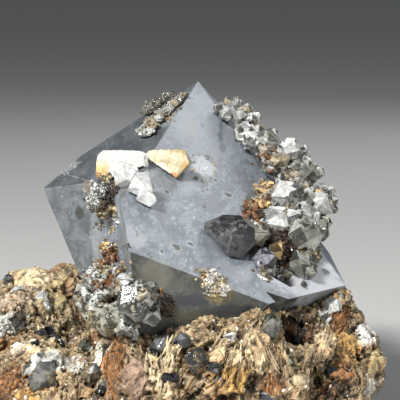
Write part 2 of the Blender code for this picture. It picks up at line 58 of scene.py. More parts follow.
# %% Camera
CAMERA_PLACE = (0.00264, -0.25534, 0.05262)  # metres
LOOK_DOWN = 6  # degrees
LENS, SENSOR = 190, 36  # millimetres
lens = bpy.data.cameras.new("long_lens")
lens.lens = LENS
lens.sensor_width = SENSOR
lens.clip_start = 0.01
camera = bpy.data.objects.new("camera", lens)
bpy.context.scene.collection.objects.link(camera)
camera.location = CAMERA_PLACE
camera.rotation_euler = (math.radians(90 - LOOK_DOWN), 0, 0)
bpy.context.scene.camera = camera


# %% [markdown]
# A flat crystal face shines as a mirror does, so what it reflects decides how light it looks.
# A wide weak light stands behind and to the right, where the front face reflects it. The faces
# beside it reflect the dim room, and painted shade in their colour keeps them dark as well.
# The main light comes from the upper left and brings out the relief of the rock, and a weak
# one on the right fills the shadows.

# %% Lights, floor and room
def soft_light(name, place, aim, size, watts, tint=(1, 1, 1)):
    """An area light at a place in metres, turned to its aim."""
    data = bpy.data.lights.new(name, "AREA")
    data.shape = "SQUARE"
    data.size, data.energy, data.color = size, watts, tint
    light = bpy.data.objects.new(name, data)
    bpy.context.scene.collection.objects.link(light)
    light.location = place
    light.rotation_euler = (Vector(aim) - Vector(place)).to_track_quat("-Z", "Y").to_euler()


soft_light("back_right_softbox", (0.20, 0.38, 0.33), (0, 0, 0.02), 0.30, 0.45,
           (0.93, 0.96, 1.0))
soft_light("upper_left_key", (-0.22, -0.30, 0.36), (0, 0, 0.01), 0.10, 4.0, (1.0, 0.98, 0.95))
soft_light("right_fill", (0.40, -0.30, 0.10), (0, 0, 0.02), 0.25, 0.5)

room = bpy.data.worlds.new("room")
room.use_nodes = True
glow = room.node_tree.nodes["Background"].inputs
glow["Color"].default_value = (0.85, 0.88, 0.92, 1)
glow["Strength"].default_value = 0.14
bpy.context.scene.world = room
bpy.context.scene.view_settings.view_transform = "Standard"


def new_material(name):
    mat = bpy.data.materials.new(name)
    mat.use_nodes = True
    return mat, mat.node_tree, mat.node_tree.nodes["Principled BSDF"]


bpy.ops.object.select_all(action="DESELECT")
bpy.ops.mesh.primitive_plane_add(size=14, location=(0, 4, -0.0001))
floor = bpy.context.active_object
floor.name = "floor"
pale_floor, tree, shader = new_material("pale_floor")
shader.inputs["Base Color"].default_value = (0.62, 0.62, 0.61, 1)
shader.inputs["Roughness"].default_value = 0.85
floor.data.materials.append(pale_floor)


# %% [markdown]
# Effects that several finishes share are node groups that are built once: the flaws of quartz
# (cloudy veils, bright specks and a finely pitted skin), a soft spot with an uneven edge, and
# the grain of the rock (fine light and dark grains with glints, over a tint of each piece).

# %% Small helpers for shader nodes
def put(tree, slot, value):
    """Link or set one input of a node; a colour gets its alpha."""
    if isinstance(value, bpy.types.NodeSocket):
        tree.links.new(value, slot)
    else:
        slot.default_value = (*value, 1) if slot.type == "RGBA" else value


def add(tree, kind, **inputs):
    """A shader node with its inputs set or linked by name."""
    node = tree.nodes.new(kind)
    for key, value in inputs.items():
        put(tree, node.inputs[key.replace("_", " ")], value)
    return node


def coordinate(tree, kind="Object"):
    return tree.nodes.new("ShaderNodeTexCoord").outputs[kind]


def own_tint(tree):
    """The colour that is kept on the vertices."""
    node = tree.nodes.new("ShaderNodeVertexColor")
    node.layer_name = "tint"
    return node.outputs["Color"]


def noise_value(tree, vector, scale, detail=4.0, rough=0.55, distort=0.0):
    node = add(tree, "ShaderNodeTexNoise", Vector=vector, Scale=scale, Detail=detail,
               Roughness=rough, Distortion=distort)
    return node.outputs[0]


def ramp(tree, value, low, high, to_low=0.0, to_high=1.0):
    """Stretch a value from low..high to a new range, smoothly and kept inside it."""
    node = add(tree, "ShaderNodeMapRange", Value=value, From_Min=low, From_Max=high,
               To_Min=to_low, To_Max=to_high)
    node.interpolation_type = "SMOOTHSTEP"
    return node.outputs["Result"]


def math_node(tree, operation, a, b):
    node = tree.nodes.new("ShaderNodeMath")
    node.operation = operation
    put(tree, node.inputs[0], a)
    put(tree, node.inputs[1], b)
    return node.outputs[0]


def vector_node(tree, operation, a, b=None):
    """Vector maths: a number for dot products and lengths, and a vector for the rest."""
    node = tree.nodes.new("ShaderNodeVectorMath")
    node.operation = operation
    put(tree, node.inputs[0], a)
    if b is not None:
        put(tree, node.inputs["Scale" if operation == "SCALE" else 1], b)
    return node.outputs["Value" if operation in ("DOT_PRODUCT", "LENGTH") else "Vector"]


def blend_color(tree, factor, a, b, mode="MIX"):
    """Mix colour a with colour b by a factor."""
    node = tree.nodes.new("ShaderNodeMix")
    node.data_type = "RGBA"
    node.blend_type = mode
    for slot, value in ((node.inputs[0], factor), (node.inputs[6], a), (node.inputs[7], b)):
        put(tree, slot, value)
    return node.outputs[2]


def tinted(tree, color, mask, strength, tint):
    """Lay a tint over a colour where a mask is high."""
    return blend_color(tree, math_node(tree, "MULTIPLY", mask, strength), color, tint)


def shade(tree, color, pattern, low, high):
    """Darken and lighten a colour by a pattern."""
    return blend_color(tree, 1.0, color, ramp(tree, pattern, 0, 1, low, high), "MULTIPLY")


def bump(tree, shader, height, depth_mm):
    node = add(tree, "ShaderNodeBump", Height=height, Distance=depth_mm * MM, Strength=1.0)
    tree.links.new(node.outputs["Normal"], shader.inputs["Normal"])


def new_group(name, inputs, outputs):
    """An empty node group with its sockets, each a name and a type."""
    g = bpy.data.node_groups.new(name, "ShaderNodeTree")
    for way, sockets in (("INPUT", inputs), ("OUTPUT", outputs)):
        for key, kind in sockets.items():
            g.interface.new_socket(name=key, in_out=way, socket_type="NodeSocket" + kind)
    return g, g.nodes.new("NodeGroupInput").outputs, g.nodes.new("NodeGroupOutput").inputs


def give(tree, ends, **values):
    """Link the results of a group to its outputs."""
    for key, value in values.items():
        tree.links.new(value, ends[key])


def use_group(tree, group, **inputs):
    """One use of a node group; its outputs."""
    node = tree.nodes.new("ShaderNodeGroup")
    node.node_tree = group
    for key, value in inputs.items():
        put(tree, node.inputs[key], value)
    return node.outputs


# %% The flaws of quartz
def quartz_flaws_group():
    g, start, end = new_group(
        "quartz_flaws", {"Vector": "Vector", "Size": "Float"},
        dict.fromkeys(("Veil", "Speck", "Pit", "Mottle", "Height"), "Float"))
    p = vector_node(g, "SCALE", start["Vector"], start["Size"])
    pits = add(g, "ShaderNodeTexVoronoi", Vector=p, Scale=900.0).outputs["Distance"]
    pit = math_node(g, "MULTIPLY", ramp(g, pits, 0.16, 0.06),
                    ramp(g, noise_value(g, p, 420, 3), 0.52, 0.60))
    fine = noise_value(g, p, 2600, 2, 0.6)
    relief = math_node(g, "ADD", math_node(g, "MULTIPLY", noise_value(g, p, 3800, 3, 0.6), 0.35),
                       math_node(g, "MULTIPLY", noise_value(g, p, 350, 3), 0.8))
    mottle = math_node(g, "ADD", noise_value(g, p, 480, 6, 0.62, 0.6),
                       math_node(g, "MULTIPLY", fine, 0.4))
    give(g, end, Veil=ramp(g, noise_value(g, p, 180, 5, 0.6, 0.8), 0.44, 0.66),
         Speck=ramp(g, fine, 0.62, 0.74), Pit=pit, Mottle=ramp(g, mottle, 0.56, 0.86),
         Height=math_node(g, "SUBTRACT", relief, math_node(g, "MULTIPLY", pit, 1.3)))
    return g


QUARTZ_FLAWS = quartz_flaws_group()
QUARTZ_IOR = 1.54


def drawn_along(tree, place, way, share):
    """Places with their distance along a way made shorter, so that patterns run along it."""
    along = math_node(tree, "MULTIPLY", vector_node(tree, "DOT_PRODUCT", place, way), share)
    return vector_node(tree, "SUBTRACT", place, vector_node(tree, "SCALE", way, along))


def finish_quartz(tree, shader, color, rough, through, height, depth_mm):
    """Join a colour, a roughness and a relief to a shader that is clear as quartz is."""
    tree.links.new(color, shader.inputs["Base Color"])
    tree.links.new(rough, shader.inputs["Roughness"])
    shader.inputs["IOR"].default_value = QUARTZ_IOR
    shader.inputs["Transmission Weight"].default_value = through
    bump(tree, shader, height, depth_mm)


def quartz_material(name, body, cloud, size, rough, through, depth_mm, inside, density, over,
                    grown=None):
    """Quartz with a body colour, cloudy veils of another, and specks and pits in its skin.

    Over is a function that adds stains, dust, painted shade, or pale edges of wear and painted
    highlight to the colour. Light inside turns to the inside colour, by a density per metre. The
    flaws run along the way that the crystal has grown, where one is given.
    """
    mat, tree, shader = new_material(name)
    place = coordinate(tree)
    if grown:
        place = drawn_along(tree, place, grown, 0.6)
    flaws = use_group(tree, QUARTZ_FLAWS, Vector=place, Size=size)
    color = blend_color(tree, flaws["Veil"], body, cloud)
    color = tinted(tree, color, flaws["Speck"], 0.6,
                   tuple(min(1.0, c * 1.5 + 0.1) for c in cloud))
    color = tinted(tree, color, flaws["Pit"], 0.5, tuple(c * 0.45 for c in body))
    color = shade(tree, color, flaws["Mottle"], 0.72, 1.16)
    finish_quartz(tree, shader, over(tree, color), ramp(tree, flaws["Veil"], 0, 1, *rough),
                  through, flaws["Height"], depth_mm)
    absorb = add(tree, "ShaderNodeVolumeAbsorption", Color=inside, Density=density)
    tree.links.new(absorb.outputs["Volume"], tree.nodes["Material Output"].inputs["Volume"])
    return mat


# %% [markdown]
# The big crystal is blue-grey and cloudy. Its faces are flat and satin. Named stains lie on
# it: a dark inclusion in the left face, a smoky streak on the front, a film near the foot.
# Spots of painted shade lie with them, and the faces beside the front one are painted darker:
# painted shade.

# %% The big crystal
def spot_group():
    """A soft spot with an uneven edge, at a place in the object."""
    g, start, end = new_group(
        "spot", {"Vector": "Vector", "Centre": "Vector", "Radii": "Vector", "Uneven": "Float"},
        {"Mask": "Float", "Core": "Float"})
    off = vector_node(g, "SUBTRACT", start["Vector"], start["Centre"])
    far = vector_node(g, "LENGTH", vector_node(g, "DIVIDE", off, start["Radii"]))
    ragged = math_node(g, "SUBTRACT", noise_value(g, start["Vector"], 900, 4), 0.5)
    ragged = math_node(g, "MULTIPLY", ragged, start["Uneven"])
    reach = math_node(g, "ADD", far, math_node(g, "MULTIPLY", ragged, 2.4))
    give(g, end, Mask=ramp(g, reach, 1.1, 0.6), Core=ramp(g, reach, 0.62, 0.35))
    return g


SPOT = spot_group()
PALE_EDGE_WIDTH = 0.16  # width of the pale edges, chipped and painted highlight, millimetres
GROWN = (-0.20, -0.94, -0.26)  # the way that the flaws run
CRYSTAL_STAINS_AND_SHADE = [  # centre and radii in millimetres, colour, strength; stains, with two spots of painted shade
    ((4.0, 12.0, 34.0), (7.0, 13.0, 7.0), (0.37, 0.41, 0.455), 0.6),  # lighter upper half
    ((-11.7, -4.9, 24.7), (0.75, 1.0, 0.9), (0.05, 0.055, 0.04), 0.9),  # dark inclusion
    ((5.1, 16.6, 34.9), (0.30, 1.4, 0.8), (0.13, 0.15, 0.18), 0.5),  # smoky streak in parts
    ((5.3, 14.0, 33.8), (0.32, 1.6, 0.8), (0.11, 0.13, 0.16), 0.6),
    ((5.2, 10.8, 32.7), (0.45, 2.2, 1.1), (0.10, 0.12, 0.15), 0.65),
    ((5.5, 8.1, 31.5), (0.55, 1.8, 1.0), (0.12, 0.14, 0.17), 0.6),
    ((2.9, 11.4, 34.1), (0.30, 0.8, 0.5), (0.10, 0.12, 0.15), 0.5),
    ((5.8, -1.5, 27.6), (1.6, 1.6, 1.4), (0.14, 0.15, 0.17), 0.45),  # shade over the smoky one
    ((1.3, 9.0, 34.2), (1.0, 3.6, 2.2), (0.42, 0.40, 0.33), 0.35),  # yellowish ridge side
    ((-5.6, -11.0, 26.0), (0.9, 2.2, 3.4), (0.55, 0.56, 0.58), 0.6),  # frosted strip
    ((-4.6, -24.4, 24.2), (1.5, 3.0, 2.0), (0.46, 0.48, 0.52), 0.7),  # frosted low corner
    ((3.1, 0.5, 29.8), (2.3, 4.6, 2.4), (0.20, 0.205, 0.19), 0.5),  # rim of the patch
    ((3.1, 0.5, 29.8), (1.8, 3.8, 2.0), (0.60, 0.62, 0.66), 0.9),  # frosted patch
    ((15.0, -12.5, 18.0), (8.0, 8.0, 4.0), (0.60, 0.62, 0.66), 0.85),  # frosted right corner
    ((6.5, -20.5, 19.8), (3.0, 2.4, 1.4), (0.44, 0.46, 0.50), 0.5),  # worn low edge
    ((-10.0, -16.0, 21.0), (1.6, 3.0, 4.5), (0.07, 0.075, 0.075), 0.5),  # shade in the step
    ((-2.6, -26.5, 20.2), (2.6, 1.4, 2.6), (0.30, 0.29, 0.23), 0.5),  # film on the low face
    ((2.6, -25.4, 17.3), (3.4, 2.2, 0.8), (0.050, 0.055, 0.075), 0.8),  # dark blue band
    ((0.6, -25.0, 15.6), (3.4, 2.2, 0.7), (0.10, 0.095, 0.06), 0.7),
    ((6.0, -24.0, 16.0), (3.6, 2.6, 0.8), (0.045, 0.05, 0.06), 0.8),
    ((4.6, -24.4, 18.6), (1.8, 1.4, 2.0), (0.46, 0.36, 0.14), 0.75),  # yellow crust, its film
    ((-13.8, 3.5, 29.6), (1.9, 2.6, 1.2), (0.44, 0.46, 0.46), 0.6),  # frosted left chips
    ((-9.8, -6.3, 22.0), (0.8, 1.4, 4.4), (0.40, 0.42, 0.42), 0.4)]  # light streak
CRYSTAL_PITS = [  # centre and radius in millimetres: small broken pits with a pale rim
    ((6.0, -3.2, 26.7), 0.75), ((0.0, -21.9, 22.7), 0.85), ((-1.6, -24.3, 22.6), 0.5),
    ((1.5, -19.4, 22.8), 0.55), ((-1.2, -10.4, 27.8), 0.45), ((3.5, -4.7, 27.5), 0.4),
    ((14.5, -14.6, 17.6), 0.8), ((17.4, -9.0, 18.2), 0.85), ((15.7, -11.4, 18.2), 0.6),
    ((1.8, 2.0, 31.1), 0.4), ((4.5, -1.2, 28.3), 0.45), ((4.8, 3.4, 30.6), 0.5)]
PAINTED_FACE_SHADE = [  # the way that a face looks, and what it keeps of the body's colour: painted shade on that face (the low front one also olive)
    ((-0.314, -0.193, 0.930), (0.44, 0.44, 0.43)),
    ((-0.557, -0.824, -0.106), (0.66, 0.655, 0.635)),
    ((0.211, -0.956, -0.206), (0.41, 0.385, 0.30)),
    ((0.646, -0.448, -0.618), (0.30, 0.30, 0.27)),
    ((0.890, 0.183, 0.418), (0.42, 0.41, 0.35))]


def spot(tree, place, centre, radii, uneven=0.5):
    return use_group(tree, SPOT, Vector=place, Centre=[c * MM for c in centre],
                     Radii=[r * MM for r in radii], Uneven=uneven)


# Soft coloured spots: stains, and painted shade where a list holds it.
def spotted(tree, color, stains):
    place = coordinate(tree)
    for centre, radii, tint, strength in stains:
        color = tinted(tree, color, spot(tree, place, centre, radii)["Mask"], strength, tint)
    return color


def pitted(tree, color, pits):
    """Small dark pits, each with a pale ragged rim."""
    place = coordinate(tree)
    for centre, radius in pits:
        pit = spot(tree, place, centre, (radius, radius * 1.9, radius), 0.9)
        color = tinted(tree, color, pit["Mask"], 0.45, (0.55, 0.56, 0.54))
        color = blend_color(tree, pit["Core"], color, (0.06, 0.065, 0.06))
    return color


def facing(tree, way):
    """One on the surface that looks one way, and nothing on the rest."""
    turned = vector_node(tree, "DOT_PRODUCT", coordinate(tree, "Normal"), way)
    return ramp(tree, turned, 0.93, 0.97)


def edges_wear_and_highlight(tree, color, radius_mm, tint, strength):
    """Sharp edges painted pale, as chipped wear and as painted highlight: the normal turns there if
    the edge is rounded.
    """
    bevel = add(tree, "ShaderNodeBevel", Radius=radius_mm * MM)
    bevel.samples = 6
    turned = vector_node(tree, "DOT_PRODUCT", bevel.outputs["Normal"],
                         coordinate(tree, "Normal"))
    uneven = ramp(tree, noise_value(tree, coordinate(tree), 900, 4, 0.6), 0.38, 0.62)
    edge = math_node(tree, "MULTIPLY", ramp(tree, turned, 0.995, 0.93), uneven)
    return tinted(tree, color, edge, strength, tint)


def shaded_stained_crystal(tree, color):
    """Painted shade on single faces, then stains and spots of painted shade, pits, and pale edges
    of wear and painted highlight.
    """
    for way, kept in PAINTED_FACE_SHADE:
        color = blend_color(tree, facing(tree, way), color,
                            blend_color(tree, 1.0, color, kept, "MULTIPLY"))
    color = pitted(tree, spotted(tree, color, CRYSTAL_STAINS_AND_SHADE), CRYSTAL_PITS)
    return edges_wear_and_highlight(tree, color, PALE_EDGE_WIDTH, (0.55, 0.57, 0.59), 0.55)


def dress(node, mat):
    """Give a solid of the frame its finish."""
    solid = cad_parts[node]
    if not len(solid.material_slots):
        solid.data.materials.append(mat)
    for slot in solid.material_slots:
        slot.material = mat


dress("beta_quartz_crystal", quartz_material(
    "cloudy_blue_grey_quartz", (0.240, 0.276, 0.318), (0.335, 0.37, 0.415), 1.0, (0.30, 0.36),
    0.12, 0.05, (0.46, 0.48, 0.44), 90.0, shaded_stained_crystal, GROWN))
print("crystal stains:", len(CRYSTAL_STAINS_AND_SHADE))


# %% The small crystals that keep their solids
def dusted(tree, color, tint, amount):
    """Rock dust and rust that stick to part of a crystal."""
    mask = ramp(tree, noise_value(tree, coordinate(tree), 750, 5, 0.65), 0.62 - 0.2 * amount,
                0.68 - 0.2 * amount, 0.0, 0.9)
    return blend_color(tree, mask, color, tint)


def flecked(tree, color):
    """Patches of pale flecks, and pale edges of wear and painted highlight."""
    place = coordinate(tree)
    flecks = math_node(tree, "MULTIPLY",
                       ramp(tree, noise_value(tree, place, 1500, 4, 0.7), 0.52, 0.66),
                       ramp(tree, noise_value(tree, place, 330, 2), 0.42, 0.62))
    color = blend_color(tree, flecks, color, (0.34, 0.35, 0.36))
    return edges_wear_and_highlight(tree, color, 0.14, (0.22, 0.22, 0.21), 0.6)


RUSTY_SPOTS = [((-9.0, -10.5, 24.5), (1.6, 1.6, 1.6), (0.30, 0.12, 0.04), 0.9),
               ((-8.2, -26.5, 20.4), (1.3, 1.3, 1.3), (0.30, 0.11, 0.04), 0.8),
               ((-8.0, -9.6, 20.6), (2.0, 2.0, 2.6), (0.42, 0.24, 0.10), 0.7)]
clear_quartz = quartz_material(
    "glassy_quartz", (0.86, 0.88, 0.87), (0.96, 0.97, 0.96), 3.0, (0.04, 0.18), 0.30, 0.08,
    (0.8, 0.81, 0.78), 60.0,
    lambda tree, color: edges_wear_and_highlight(tree, color, PALE_EDGE_WIDTH, (0.9, 0.9, 0.88), 0.7))
smoky_quartz = quartz_material(
    "smoky_quartz", (0.022, 0.023, 0.026), (0.13, 0.135, 0.145), 3.2, (0.06, 0.2), 0.3, 0.08,
    (0.2, 0.2, 0.22), 300.0, flecked)
rock_smoky = quartz_material(
    "smoky_quartz_in_rock", (0.030, 0.032, 0.036), (0.12, 0.12, 0.11), 2.6, (0.06, 0.2), 0.3,
    0.06, (0.2, 0.2, 0.2), 300.0,
    lambda tree, color: dusted(tree, color, (0.30, 0.22, 0.12), 0.7))
grey_quartz = quartz_material(
    "grey_quartz", (0.16, 0.165, 0.155), (0.46, 0.46, 0.43), 2.5, (0.08, 0.24), 0.5, 0.05,
    (0.4, 0.4, 0.38), 200.0,
    lambda tree, color: dusted(tree, color, (0.48, 0.42, 0.30), 0.3))
stained_quartz = quartz_material(
    "stained_quartz", (0.42, 0.40, 0.34), (0.66, 0.64, 0.56), 3.0, (0.08, 0.3), 0.55, 0.06,
    (0.5, 0.42, 0.28), 150.0,
    lambda tree, color: dusted(tree, spotted(tree, color, RUSTY_SPOTS), (0.24, 0.12, 0.05), 0.4))

for node, mat in (("smoky_quartz_crystal", smoky_quartz), ("smoky_crystal_front", rock_smoky),
                  ("smoky_crystal_left", rock_smoky), ("grey_crystal_left", grey_quartz),
                  ("grey_crystal_ledge", grey_quartz), ("glassy_quartz_crystals", clear_quartz),
                  ("pale_quartz_crystals", stained_quartz),
                  ("brown_quartz_crystals", stained_quartz)):
    dress(node, mat)


# %% [markdown]
# The rock is an altered glassy lava. In some places it breaks into grains, in others into
# long fibres like wood, and it has ledges, chips and dark hollows. A named list of regions
# says how each place breaks, how far it stands out, and its colour. The same list moves the
# skin of the rock, paints it, and says where loose fibres and grains lie, so that all agree.

# %% Regions of the rock
CREAM, WHITE, GOLD = (0.58, 0.47, 0.29), (0.66, 0.64, 0.55), (0.44, 0.27, 0.09)
TAN, RUST, BROWN = (0.34, 0.255, 0.145), (0.27, 0.125, 0.045), (0.085, 0.050, 0.026)
OLIVE, DARK = (0.22, 0.19, 0.10), (0.022, 0.018, 0.015)
PINK, FLESH, ICE = (0.27, 0.18, 0.125), (0.42, 0.33, 0.23), (0.50, 0.51, 0.46)
AMBER, SNOW = (0.42, 0.34, 0.17), (0.82, 0.80, 0.74)

# centre, radii, how it breaks (fibre 0..1, grain 0..1), tint, push out in millimetres
REGIONS = [
    ((0, -30, 8), (60, 60, 60), 0.5, 0.5, TAN, 0.0),
    ((-17.6, -6.0, 16.8), (3.4, 6.0, 2.0), 0.0, 0.6, CREAM, 0.5),  # cream boulder
    ((-19.5, -10.0, 15.4), (3.8, 6.0, 1.8), 0.0, 0.8, FLESH, 0.2),
    ((-18.8, -14.0, 13.0), (2.8, 4.0, 1.2), 0.0, 0.6, ICE, 0.3),
    ((-14.8, -10.0, 14.8), (1.7, 7.0, 2.8), 0.0, 0.1, AMBER, 0.5),  # translucent gold
    ((-11.8, -9.0, 15.2), (0.9, 7.0, 1.3), 0.0, 0.9, GOLD, 0.2),
    ((-11.0, -14.0, 13.6), (1.9, 7.0, 2.6), 0.1, 1.0, CREAM, 0.3),  # fine granular column
    ((-18.4, -20.0, 15.0), (3.2, 4.0, 2.4), 0.0, 0.9, CREAM, 0.2),
    ((-17.6, -22.0, 12.6), (4.4, 4.0, 1.8), 0.3, 0.7, WHITE, 0.5),  # pale ledge
    ((-13.5, -24.5, 13.3), (2.4, 2.4, 1.4), 0.0, 0.2, DARK, -0.3),  # smoky grains
    ((-14.6, -25.5, 11.6), (3.6, 3.0, 1.0), 0.3, 0.6, CREAM, 0.5),
    ((-10.4, -24.5, 12.1), (1.6, 2.8, 1.1), 0.0, 0.8, OLIVE, -0.5),  # greenish grains
    ((-11.4, -27.0, 10.8), (2.4, 2.4, 1.3), 0.2, 0.9, WHITE, 0.2),
    ((-14.2, -25.5, 10.2), (2.6, 3.0, 1.3), 0.0, 0.2, ICE, 0.3),  # whitish crystal
    ((-18.4, -26.0, 8.0), (3.0, 3.0, 2.4), 0.2, 0.4, RUST, -0.2),
    ((-16.0, -27.6, 6.4), (3.0, 3.0, 1.6), 0.2, 0.4, GOLD, 0.2),
    ((-9.3, -28.0, 10.1), (0.7, 1.6, 1.7), 0.0, 0.0, DARK, 0.2),  # black crystal
    ((-8.3, -26.5, 13.0), (0.7, 2.5, 7.0), 0.6, 0.3, WHITE, 0.7),  # pale seam
    ((-6.6, -28.5, 11.6), (1.4, 2.6, 5.4), 1.0, 0.0, RUST, 0.3),  # rusty columns
    ((-4.2, -29.0, 9.2), (2.2, 2.4, 2.6), 0.2, 0.0, PINK, 0.5),  # pinkish lump
    ((-5.0, -28.6, 14.4), (2.6, 2.2, 1.7), 0.8, 0.1, BROWN, -0.4),
    ((-2.0, -28.0, 16.4), (1.9, 2.8, 2.0), 0.4, 0.3, BROWN, -0.9),  # dark rusty hollow
    ((0.4, -28.4, 14.9), (3.4, 2.2, 1.1), 0.7, 0.2, RUST, 0.2),
    ((-1.4, -29.4, 11.4), (2.0, 2.4, 4.8), 1.0, 0.1, CREAM, 0.4),  # golden fibres
    ((-1.8, -29.6, 13.0), (1.1, 1.8, 1.5), 0.0, 0.0, DARK, -0.1),
    ((1.4, -29.8, 9.6), (2.4, 2.0, 2.8), 0.6, 0.5, TAN, -0.3),
    ((3.4, -29.4, 14.2), (3.0, 2.0, 1.2), 0.2, 0.9, WHITE, 0.0),
    ((5.6, -29.8, 12.4), (3.6, 2.6, 3.4), 1.0, 0.2, CREAM, 0.3),  # swept fibres
    ((5.0, -29.0, 15.0), (2.0, 2.0, 0.9), 0.1, 0.8, BROWN, -0.6),
    ((6.0, -30.2, 9.4), (3.8, 2.2, 2.0), 0.9, 0.3, GOLD, 0.1),
    ((9.2, -28.4, 13.8), (2.2, 2.4, 4.4), 1.0, 0.0, CREAM, 0.5),  # upright fan
    ((8.6, -30.0, 8.6), (1.1, 1.8, 1.9), 0.3, 0.3, DARK, -0.8),
    ((5.2, -30.2, 7.2), (3.2, 1.8, 0.9), 0.4, 0.3, BROWN, -0.5),
    ((11.4, -28.2, 11.6), (2.0, 2.6, 4.8), 1.0, 0.0, TAN, 0.2),
    ((10.6, -29.6, 8.6), (1.9, 2.0, 2.0), 0.7, 0.4, RUST, 0.3),
    ((14.3, -19.6, 13.6), (2.6, 4.6, 3.0), 0.2, 0.8, BROWN, -0.8),  # big dark hollow
    ((13.6, -19.4, 12.8), (1.1, 3.6, 1.8), 0.2, 0.6, DARK, -1.4),
    ((17.4, -15.0, 14.4), (1.8, 3.4, 1.7), 0.1, 0.6, OLIVE, -0.3),
    ((18.9, -15.0, 14.2), (1.4, 5.0, 2.6), 1.0, 0.0, RUST, 0.3),
    ((13.2, -27.0, 12.2), (1.2, 2.0, 3.4), 0.4, 0.7, OLIVE, -0.2),
    ((16.8, -23.2, 12.8), (1.4, 5.2, 3.6), 1.0, 0.0, CREAM, 0.5),  # swept bundle
    ((15.4, -26.6, 10.0), (1.3, 2.0, 2.4), 1.0, 0.0, TAN, 0.1),
    ((14.2, -28.4, 8.0), (2.2, 2.2, 1.8), 0.0, 0.3, CREAM, 0.7),  # cream chunk
    ((17.0, -26.0, 8.6), (2.6, 2.6, 2.6), 0.3, 0.7, OLIVE, -0.6),
    ((19.4, -14.8, 16.6), (1.9, 3.0, 2.0), 0.0, 0.6, GOLD, 0.3),  # tan grain
    ((19.2, -18.0, 10.4), (2.2, 5.0, 2.4), 0.3, 0.3, GOLD, 0.4),  # ochre chunks
    ((18.6, -23.6, 9.0), (1.6, 3.0, 2.0), 0.6, 0.3, RUST, 0.2),
    ((18.0, -24.0, 7.0), (2.4, 3.0, 1.4), 0.3, 0.5, BROWN, -0.4),
    ((22.6, -12.6, 11.4), (2.4, 5.0, 1.4), 0.0, 0.3, SNOW, 0.4),  # white cap
    ((22.8, -15.5, 8.6), (1.8, 4.0, 1.6), 0.0, 0.1, AMBER, 0.3),
    ((22.2, -19.0, 6.4), (2.0, 4.0, 1.6), 0.0, 0.5, WHITE, 0.3)]
REGION_EDGE = 0.28  # how soft a region's edge is, as a share of its radius


def noise_at(points, size, shift=0.0):
    """Smooth noise at points in millimetres; size is the width of its bumps."""
    move = Vector((shift, shift * 1.7, shift * 0.6))
    return np.array([noise.noise(Vector(p) / size + move) for p in points])


def within(points, centre, radii, ragged, edge):
    """How far each point lies inside a ragged ball, 0 to 1."""
    far = np.sqrt((((points - np.array(centre)) / np.array(radii)) ** 2).sum(axis=1))
    return np.clip((1.0 + ragged - far) / edge, 0, 1)[:, None]


def regions_at(points):
    """How each point breaks, its tint and its push, from the regions that it lies in."""
    ragged = 0.34 * noise_at(points, 1.7, 4.0) + 0.18 * noise_at(points, 0.6, 9.0)
    look = np.zeros((len(points), 6))
    for centre, radii, fibre, grain, tint, push in REGIONS:
        share = within(points, centre, radii, ragged, REGION_EDGE)
        look = look * (1 - share) + np.array((fibre, grain, *tint, push)) * share
    return look


print("rock regions:", len(REGIONS))


# %% [markdown]
# The fibres don't all run one way. They stand upright in the middle, sweep down to the left
# of it, and in the right hollow a bundle runs from the crystal's corner down and forward.

# %% Direction of the fibres
FIBRE_WAYS = [  # x in millimetres, direction there
    (-25.0, (0.5, 0.1, 0.85)), (-8.0, (0.10, 0.1, 1.0)), (-4.5, (-0.25, 0.1, 0.95)),
    (-1.0, (0.30, 0.1, 0.95)), (3.0, (0.75, 0.1, 0.65)), (6.5, (0.55, 0.1, 0.85)),
    (9.0, (-0.05, 0.1, 1.0)), (12.0, (-0.25, 0.1, 0.95)), (14.5, (0.30, 0.5, 0.80)),
    (19.0, (0.40, 0.55, 0.72)), (25.0, (-0.2, 0.3, 0.9))]
BUNDLE = np.array((2.4, 2.4, 5.0))  # usual size of one bundle of fibres, millimetres


def bundles(points):
    """The bundle that each point lies in: the bundle's middle and its own direction."""
    middle = np.empty_like(points)
    for i, p in enumerate(points):
        middle[i] = noise.voronoi(Vector(p / BUNDLE))[1][0]
    middle *= BUNDLE
    xs = [x for x, way in FIBRE_WAYS]
    way = np.stack([np.interp(middle[:, 0], xs, [w[k] for x, w in FIBRE_WAYS])
                    for k in range(3)], axis=1)
    way[:, 0] += 0.55 * noise_at(middle, 1.3, 2.0)
    way[:, 1] += 0.35 * noise_at(middle, 1.1, 5.0)
    return middle, way / np.linalg.norm(way, axis=1)[:, None]


def squeezed(points, fibre):
    """Points with their distance along the fibres squeezed, so that noise runs in strands."""
    middle, way = bundles(points)
    along = ((points - middle) * way).sum(axis=1)[:, None] * way
    return points - (0.90 * fibre)[:, None] * along


# %% [markdown]
# A copied solid is a mesh of loose triangles. It is welded first, then a voxel remesh gives
# it an even skin of small faces, which is what carved detail needs. The front of the rock,
# which is full of detail, gets smaller faces than the rest.

# %% An even skin from a solid
WELD = 0.000002  # metres


def edit_all(ob):
    """Open one piece for editing, with all of it selected."""
    bpy.ops.object.select_all(action="DESELECT")
    ob.select_set(True)
    bpy.context.view_layer.objects.active = ob
    bpy.ops.object.mode_set(mode="EDIT")
    bpy.ops.mesh.select_all(action="SELECT")


def copy_solid(node, name, voxel_mm):
    """A new piece with the shape of a solid, in an even skin of small faces."""
    ob = bpy.data.objects.new(name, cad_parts[node].data.copy())
    bpy.context.scene.collection.objects.link(ob)
    ob.data.materials.clear()
    edit_all(ob)
    bpy.ops.mesh.remove_doubles(threshold=WELD)
    bpy.ops.object.mode_set(mode="OBJECT")
    skin = ob.modifiers.new("even skin", "REMESH")
    skin.mode = "VOXEL"
    skin.voxel_size = voxel_mm * MM
    bpy.ops.object.modifier_apply(modifier=skin.name)
    return ob


